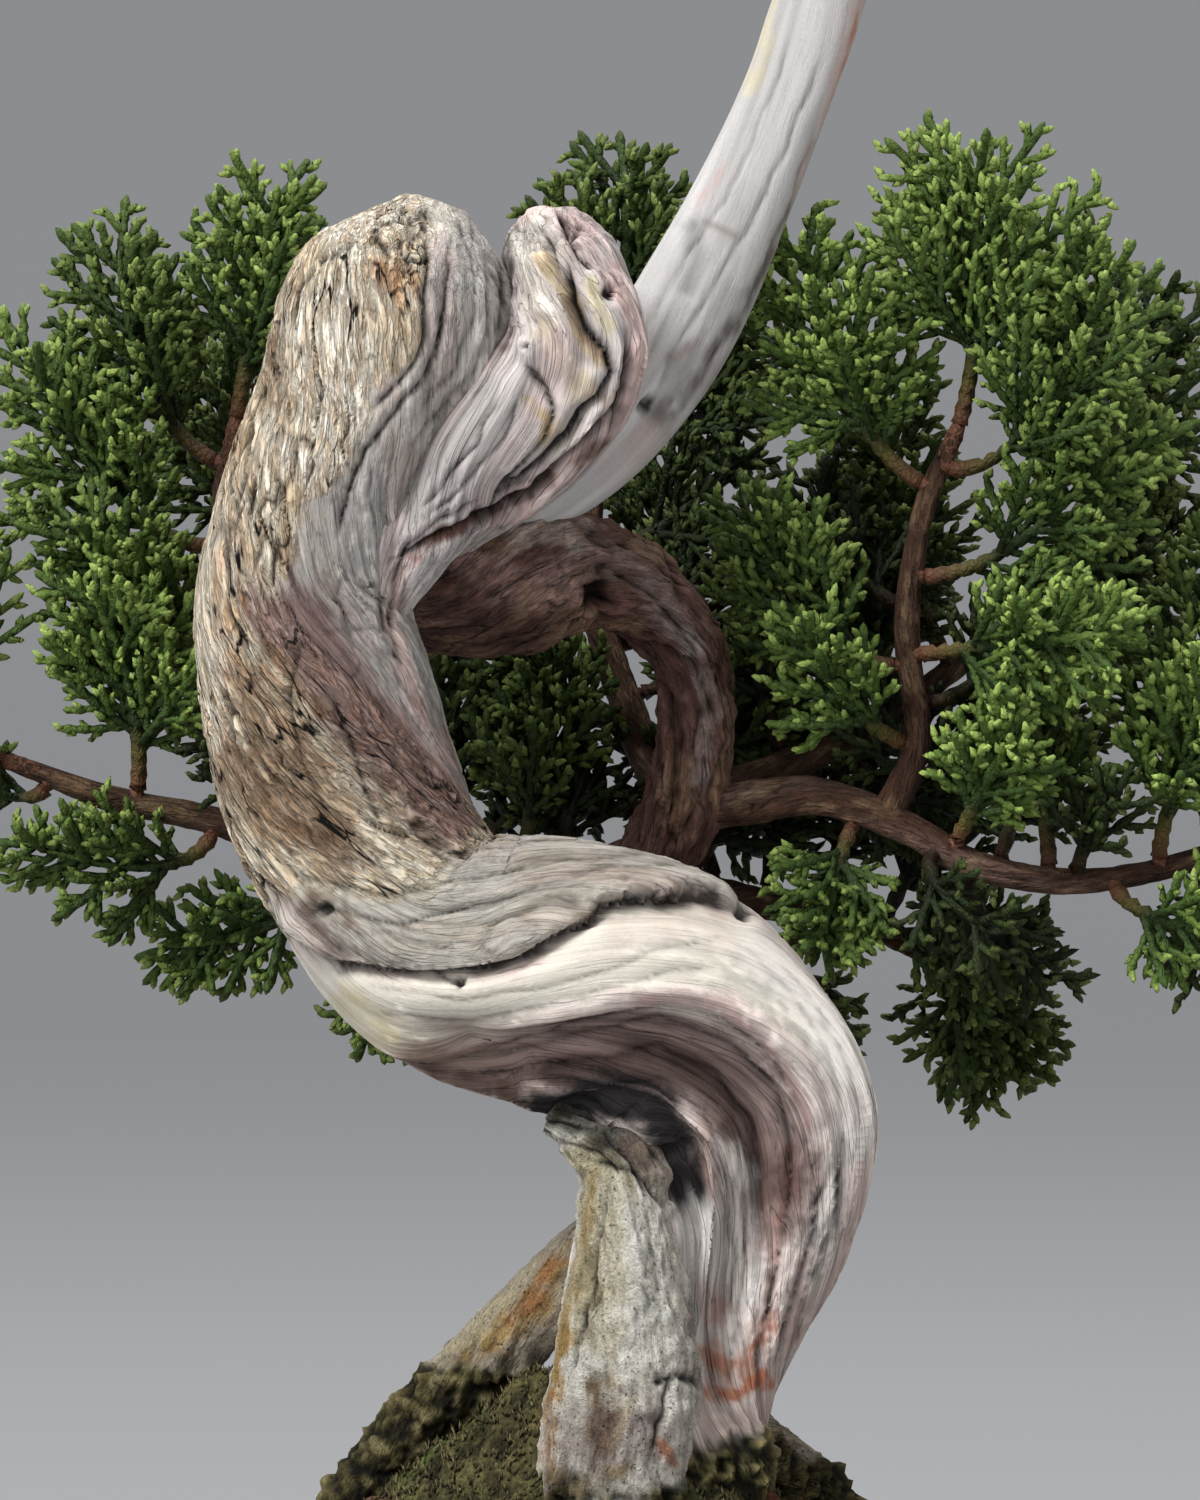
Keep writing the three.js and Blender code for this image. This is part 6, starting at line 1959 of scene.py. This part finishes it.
@dataclass
class Pot:
    """A plain unglazed pot, drawn up from its underside round the rim to its floor."""

    half_length: float = 63.0
    half_depth: float = 50.0
    corner: float = 15.0
    section: tuple[tuple[float, float], ...] = (
        (7.2, 7.6), (4.4, 20.0), (2.6, 26.9), (2.2, 27.5), (0.4, 28.1), (0.0, 28.9), (0.0, 32.1), (0.25, 32.75),
        (0.9, 33.0), (4.3, 33.0), (4.95, 32.7), (5.25, 32.0), (8.6, 13.0), (9.4, 11.3), (11.0, 10.5),
    )
    start: tuple[float, float] = (10.0, 5.6)
    foot_at: tuple[float, float] = (43.0, 31.0)
    foot_half: tuple[float, float] = (11.0, 7.5)
    foot_height: float = 7.0
    foot_bevel: float = 3.0
    foot_taper: float = 0.84
    drain_at: float = 27.0
    drain_radius: float = 6.0
    wire_at: float = 15.0
    wire_radius: float = 2.0
    cutter: tuple[float, float] = (14.0, 8.0)
    edge_wear: float = 0.45

    def wall(self) -> Piece:
        """The bowl of the pot: a rounded plate, extruded and resized up its wall and down its inside."""
        deselect()
        inset, level = self.start
        bpy.ops.mesh.primitive_plane_add(size=2, location=(0, 0, level * MM))
        bowl = bpy.context.object
        bowl.name = bowl.data.name = "clay_pot"
        bpy.ops.object.mode_set(mode="EDIT")
        size = [(self.half_length - inset) * MM, (self.half_depth - inset) * MM]
        bpy.ops.transform.resize(value=(*size, 1))
        bpy.ops.mesh.bevel(offset=(self.corner - inset * 0.5) * MM, segments=9, affect="VERTICES")
        for next_inset, next_level in self.section:
            grown = [
                (self.half_length - next_inset) / (self.half_length - inset),
                (self.half_depth - next_inset) / (self.half_depth - inset),
            ]
            lift = (0, 0, (next_level - level) * MM)
            bpy.ops.mesh.extrude_region_move(TRANSFORM_OT_translate={"value": lift})
            bpy.ops.transform.resize(value=(*grown, 1), center_override=(0, 0, next_level * MM))
            inset, level = next_inset, next_level
        bpy.ops.object.mode_set(mode="OBJECT")
        return bowl

    def foot(self, side_x: int, side_y: int) -> Piece:
        """One foot, cut back at its corners and narrower at the ground.

        Args:
            side_x: -1 for the left, 1 for the right.
            side_y: -1 for the front, 1 for the back.

        Returns:
            The mesh object.
        """
        deselect()
        centre = (side_x * self.foot_at[0] * MM, side_y * self.foot_at[1] * MM, self.foot_height / 2 * MM)
        bpy.ops.mesh.primitive_cube_add(size=1, location=centre)
        foot = bpy.context.object
        bpy.ops.object.mode_set(mode="EDIT")
        bpy.ops.mesh.select_mode(type="EDGE")
        size = (2 * self.foot_half[0] * MM, 2 * self.foot_half[1] * MM, self.foot_height * MM)
        bpy.ops.transform.resize(value=size)
        bpy.ops.object.mode_set(mode="OBJECT")
        for edge in foot.data.edges:
            a, b = (foot.data.vertices[k].co for k in edge.vertices)
            edge.select = abs(a.z - b.z) > 1e-4
        for face in foot.data.polygons:
            face.select = False
        bpy.ops.object.mode_set(mode="EDIT")
        bpy.ops.mesh.bevel(offset=self.foot_bevel * MM, segments=3, affect="EDGES")
        bpy.ops.object.mode_set(mode="OBJECT")
        for vertex in foot.data.vertices:
            if vertex.co.z < 0:
                vertex.co.x *= self.foot_taper
                vertex.co.y *= self.foot_taper
        return settled()

    def hole(self, x: float, y: float, radius: float) -> Piece:
        """A round cutter through the floor.

        Args:
            x: Its place across.
            y: Its place back.
            radius: Its radius.

        Returns:
            The mesh object.
        """
        deselect()
        depth, level = self.cutter
        bpy.ops.mesh.primitive_cylinder_add(
            vertices=32, radius=radius * MM, depth=depth * MM, location=(x * MM, y * MM, level * MM)
        )
        return settled()

    def build(self) -> None:
        """Builds and dresses the pot."""
        pot = self.wall()
        for side_x in (-1, 1):
            for side_y in (-1, 1):
                self.join(pot, self.foot(side_x, side_y), "UNION")
            self.join(pot, self.hole(side_x * self.drain_at, 0, self.drain_radius), "DIFFERENCE")
            self.join(pot, self.hole(0, side_x * self.wire_at, self.wire_radius), "DIFFERENCE")
        chosen(pot)
        edge = pot.modifiers.new("worn_edges", "BEVEL")
        edge.width, edge.segments = self.edge_wear * MM, 2
        edge.limit_method, edge.angle_limit = "ANGLE", math.radians(38)
        bpy.ops.object.modifier_apply(modifier=edge.name)
        settled()
        bpy.ops.object.shade_smooth_by_angle(angle=math.radians(32))
        finished(pot, ClayFinish().material(), "pot", ["pot"])

    @staticmethod
    def join(pot: Piece, other: Piece, how: str) -> None:
        """Joins or cuts a solid and removes the second one.

        Args:
            pot: What stays.
            other: What is joined to it or cut out of it.
            how: The Boolean modifier's operation.
        """
        chosen(pot)
        step = pot.modifiers.new("joined", "BOOLEAN")
        step.operation, step.object, step.solver = how, other, "EXACT"
        bpy.ops.object.modifier_apply(modifier=step.name)
        bpy.data.objects.remove(other)


@dataclass
class Studio:
    """A plain pale floor that rises to a wall all round, soft lights and the camera."""

    floor_radius: float = 2.6
    sweep: float = 1.2
    wall_top: float = 4.6
    lit_height: float = 0.12

    def backdrop(self) -> None:
        """The floor and its wall, extruded down from the wall's top and closed at the middle."""
        deselect()
        radius = self.floor_radius + self.sweep
        bpy.ops.mesh.primitive_circle_add(vertices=96, radius=radius, fill_type="NOTHING", location=(0, 0, 0))
        bowl = bpy.context.object
        bowl.name = bowl.data.name = "studio_floor"
        bpy.ops.object.mode_set(mode="EDIT")
        bpy.ops.transform.translate(value=(0, 0, self.wall_top))
        level = self.wall_top
        for step in range(13):
            angle = math.pi / 2 * step / 12
            next_radius = self.floor_radius + self.sweep * math.cos(angle)
            next_level = self.sweep * (1 - math.sin(angle))
            bpy.ops.mesh.extrude_region_move(TRANSFORM_OT_translate={"value": (0, 0, next_level - level)})
            share = next_radius / radius
            bpy.ops.transform.resize(value=(share, share, 1), center_override=(0, 0, next_level))
            radius, level = next_radius, next_level
        bpy.ops.mesh.edge_face_add()
        bpy.ops.object.mode_set(mode="OBJECT")
        bpy.ops.object.shade_smooth()
        r = Recipe("studio_grey")
        cloud = r.speckle(r.place(), 1.1, 2)
        r.set(Base_Color=r.blend(cloud, (0.2, 0.202, 0.207, 1), (0.22, 0.222, 0.227, 1)), Roughness=0.95)
        r.set(Emission_Color=(0.182, 0.185, 0.192, 1), Emission_Strength=1.0, Specular_IOR_Level=0.1)
        bowl.data.materials.append(r.material)

    def light(self, name: str, at: tuple[float, float, float], size: float, power: float) -> None:
        """A soft square light that faces the tree.

        Args:
            name: Its name.
            at: Its place.
            size: Its side.
            power: Its power in watts.
        """
        deselect()
        bpy.ops.object.light_add(type="AREA", location=at)
        lamp = bpy.context.object
        lamp.name = name
        lamp.data.size, lamp.data.energy = size, power
        x, y, z = np.array([0, 0, self.lit_height]) - np.array(at)
        lamp.rotation_euler = (math.atan2(math.hypot(x, y), -z), 0, math.atan2(y, x) - math.pi / 2)

    def camera(self) -> None:
        """The camera, level and square to the front of the tree."""
        deselect()
        at = (AIM[0] * MM, (TREE_AT[1] - VIEW_DISTANCE) * MM, AIM[1] * MM)
        bpy.ops.object.camera_add(location=at, rotation=(math.pi / 2, 0, 0))
        camera = bpy.context.object
        camera.name = "front_camera"
        camera.data.sensor_width = SENSOR
        camera.data.lens = SENSOR * VIEW_DISTANCE / FRAME_HEIGHT
        camera.data.clip_start = 0.05
        camera.data.dof.use_dof = False
        bpy.context.scene.camera = camera

    def build(self) -> None:
        """Sets up the stage."""
        self.backdrop()
        self.light("key_light", (-0.8, -0.8, 1.2), 0.55, 22)
        self.light("fill_light", (1.3, -1.2, 0.6), 1.4, 6.5)
        self.light("low_light", (-1.2, -1.2, 0.1), 0.9, 9)
        self.light("top_light", (0.1, 0.35, 1.4), 0.8, 11)
        world = bpy.data.worlds.new("studio_air")
        world.use_nodes = True
        air = world.node_tree.nodes["Background"]
        air.inputs["Color"].default_value = (0.97, 0.985, 1.0, 1)
        air.inputs["Strength"].default_value = 0.3
        bpy.context.scene.world = world
        bpy.context.scene.view_settings.view_transform = "Standard"
        self.camera()


def main() -> None:
    """Builds the stage and every piece, in order."""
    logging.basicConfig(level=logging.INFO, format="%(message)s")
    Studio().build()
    TreeWood().build()
    leaves = LeafFinish().material()
    for number, row in enumerate(SPRAYS, 1):
        Spray(row, number).build(leaves)
    InnerShoots().build(leaves)
    Ground().build()
    Pot().build()
    net = NetFinish().material()
    for name in ("drain_screen_left", "drain_screen_right"):
        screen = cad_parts[name]
        screen.data.materials.clear()
        screen.data.materials.append(net)
        LOG.info("%s: dressed as net", name)


if __name__ == "__main__":
    main()
